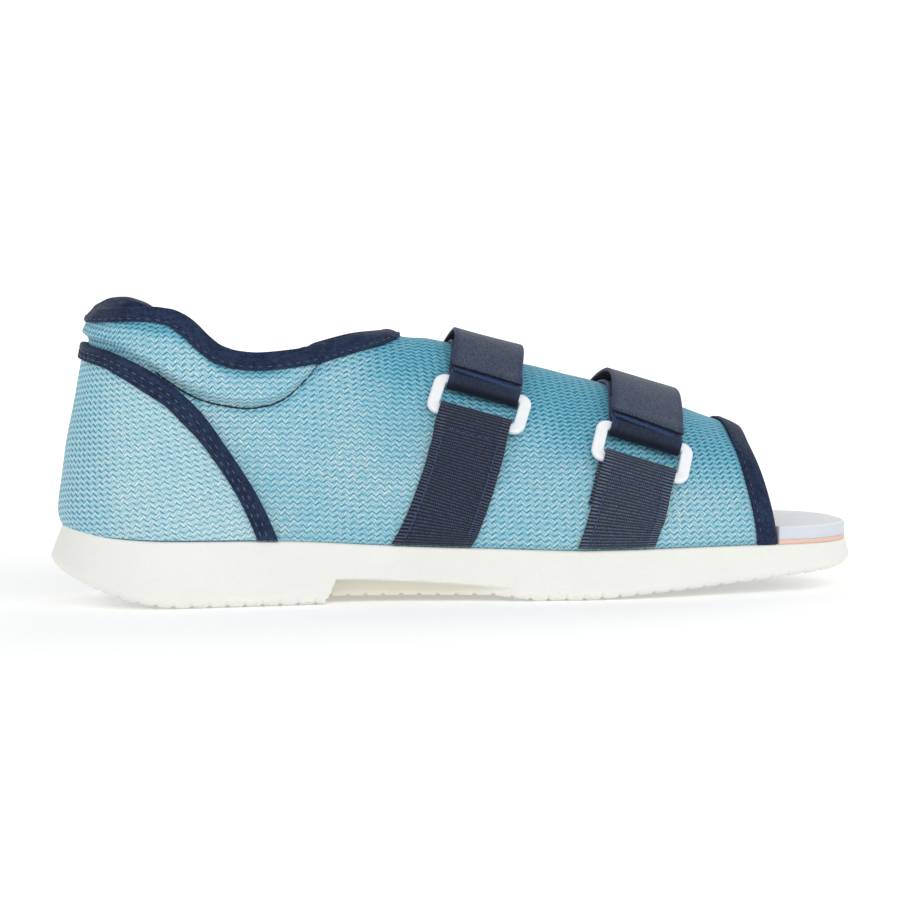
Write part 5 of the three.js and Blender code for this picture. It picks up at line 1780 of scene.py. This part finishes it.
# Everything in its place
build_outsole()
BOARD_TOP = SEAT + BOARD_THICKNESS
INSOLE_TOP = 2 * GAP + BOARD_THICKNESS + INSOLE_THICKNESS
INSOLE_DEPTH = INSOLE_TOP - BOARD_TOP - SEAT
build_footbed("insole_board_fibre", "insole_board", SEAT, BOARD_THICKNESS, 0.1, board_fibre, "board")
insole = build_footbed(
    "insole_foam_sheet", "insole", BOARD_TOP + SEAT, INSOLE_DEPTH, 0.8, insole_foam, "insole"
)
upper = build_upper()
build_counter()
build_counter_tape()
build_collar_tape()
build_toe_tape()
CUT_ROWS = 9  # rows of the strap's free end over which its slanted cut comes in
webbing_rows = []
for strap_name, strap in STRAPS.items():
    way = Track(strap)
    for far in (False, True):
        side_name = f"{strap_name}_{'far' if far else 'near'}"
        node = f"webbing_{side_name}"
        line = webbing_line(way, far)
        drift = folded_drift(line, strap["drift"][far])
        cloth = [webbing_cloth[strap_name]]
        build_band(f"{node}_cloth", way, line, STRAP_WIDTH, WEBBING, cloth, "webbing", node, drift)
        build_ring(f"ring_{side_name}", way, far)
        webbing_rows += webbing_stitch_lines(way, far)
    node = f"strap_{strap_name}"
    line = strap_line(way)
    # the rows that roll round the near ring get the darker copy, with painted shade
    cloths = [strap_cloth, shaded_roll_cloth]
    cut = -strap["cut"] * smooth((np.arange(len(line)) - len(line) + CUT_ROWS) / CUT_ROWS)
    rows = dict(slant=cut, parts=roll_parts(line, way))
    build_band(f"{node}_cloth", way, line, STRAP_WIDTH, STRAP, cloths, "tape", node, **rows)
    node = f"hook_patch_{strap_name}"
    line, width = hook_line(way), STRAP_WIDTH * 0.94
    build_band(f"{node}_pile", way, line, width, HOOK, [hook_pile], "tape", node, slant=-strap["cut"])
    fuzz(f"{node}_hooks", way, HOOK_COUNT, hook_thread)
stitches("collar_stitching", collar_stitch_line(), 3.3, 2.0, 0.24, blue_thread)
# painted shadow in the needle holes between the stitches
stitches("collar_needle_hole_shadows", collar_stitch_line(), 3.3, 1.7, 0.28, needle_hole_shadow, phase=1.8)
stitches("counter_stitching", counter_stitch_lines(), 3.4, 2.1, 0.25, counter_thread)
stitches("counter_needle_hole_shadows", counter_stitch_lines(), 3.4, 1.8, 0.28, needle_hole_shadow, phase=1.85)
stitches("toe_stitching", toe_stitch_line(), 3.2, 1.7, 0.2, blue_thread)
stitches("toe_needle_hole_shadows", toe_stitch_line(), 3.2, 1.9, 0.26, needle_hole_shadow, phase=1.5)
stitches("lap_stitching", lap_stitch_line(), 3.2, 2.4, 0.22, seam_thread, "mesh")
# overlapping near-black stitches make one line: the seam's stitches and painted shadow along its groove
stitches("seam_stitching_and_shadow", seam_lines(), 2.1, 2.7, 0.32, seam_thread, "mesh")
stitches("webbing_stitching", webbing_rows, 2.5, 2.1, 0.26, box_thread, "webbing")


# Floor, light and camera
def add_area(name, place, target, size, power):
    light = bpy.data.lights.new(name, "AREA")
    light.shape = "RECTANGLE"
    light.size, light.size_y = size
    light.energy = power
    obj = link(name, light)
    obj.location = Vector(place)
    obj.rotation_euler = (Vector(target) - obj.location).to_track_quat("-Z", "Y").to_euler()


# A lit table, which keeps the shadows soft, and is brighter away from the shoe
FLOOR_REACH = 6.0
FLOOR_GLOW = 0.22
FLOOR_GLOW_AWAY = 0.55


def add_floor():
    mesh = bpy.data.meshes.new("floor")
    corners = [(x * FLOOR_REACH, y * FLOOR_REACH, 0) for x, y in ((-1, -1), (1, -1), (1, 1), (-1, 1))]
    mesh.from_pydata(corners, [], [(0, 1, 2, 3)])
    floor = link("floor", mesh)
    paper = Nodes("floor_paper")
    away = paper.vector("LENGTH", {0: paper.place}, "Value")
    mesh.materials.append(
        paper.done(
            Base_Color=paper.mix(paper.noise(0.4, 3.0), rgb(0.95, 0.95, 0.95), rgb(0.97, 0.97, 0.97)),
            Roughness=0.9,
            Emission_Color=rgb(1, 1, 1),
            Emission_Strength=paper.ramp(away, 180.0, 800.0, FLOOR_GLOW, FLOOR_GLOW_AWAY),
        )
    )


HORIZON_LIGHT = 1.12
ZENITH_LIGHT = 0.5


def add_world():
    """White studio: bright all round at the height of the shoe, and softer overhead."""
    world = bpy.data.worlds.new("studio")
    bpy.context.scene.world = world
    world.use_nodes = True
    tree = world.node_tree
    direction = tree.nodes.new("ShaderNodeTexCoord")
    split = tree.nodes.new("ShaderNodeSeparateXYZ")
    ramp = tree.nodes.new("ShaderNodeMapRange")
    ramp.interpolation_type = "SMOOTHSTEP"
    for socket, value in zip(ramp.inputs[1:5], (0.2, 0.8, HORIZON_LIGHT, ZENITH_LIGHT)):
        socket.default_value = value
    tree.links.new(direction.outputs["Generated"], split.inputs[0])
    tree.links.new(split.outputs[2], ramp.inputs[0])
    tree.links.new(ramp.outputs[0], tree.nodes["Background"].inputs["Strength"])
    tree.nodes["Background"].inputs["Color"].default_value = (1, 1, 1, 1)


CAMERA_AZIMUTH = -8.5 * RAD
CAMERA_ELEVATION = 3.1 * RAD
CAMERA_ROLL = 0.9 * RAD
CAMERA_DISTANCE = 1.4
CAMERA_TARGET = Vector((0, 0, 0.0494))
SENSOR = 36
FOCAL_PIXELS = 4018
IMAGE_WIDTH = 900


def add_camera():
    az, el = CAMERA_AZIMUTH, CAMERA_ELEVATION
    back = Vector((math.sin(az) * math.cos(el), -math.cos(az) * math.cos(el), math.sin(el)))
    right = Vector((math.cos(az), math.sin(az), 0))
    up = back.cross(right)
    rolled_right = right * math.cos(CAMERA_ROLL) - up * math.sin(CAMERA_ROLL)
    rolled_up = right * math.sin(CAMERA_ROLL) + up * math.cos(CAMERA_ROLL)
    data = bpy.data.cameras.new("camera")
    data.sensor_width = SENSOR
    data.lens = SENSOR * FOCAL_PIXELS / IMAGE_WIDTH
    data.clip_end = 20
    camera = link("camera", data)
    matrix = Matrix((rolled_right, rolled_up, back)).transposed().to_4x4()
    matrix.translation = CAMERA_TARGET + back * CAMERA_DISTANCE
    camera.matrix_world = matrix
    bpy.context.scene.camera = camera


add_floor()
add_world()
add_area("key", (0.25, -1.35, 0.95), (0, 0, 0.05), (1.6, 0.7), 6.4)
add_area("back", (0.5, 1.3, 1.0), (0, 0, 0.05), (0.9, 0.7), 2.5)
add_camera()
bpy.context.scene.view_settings.view_transform = "Standard"
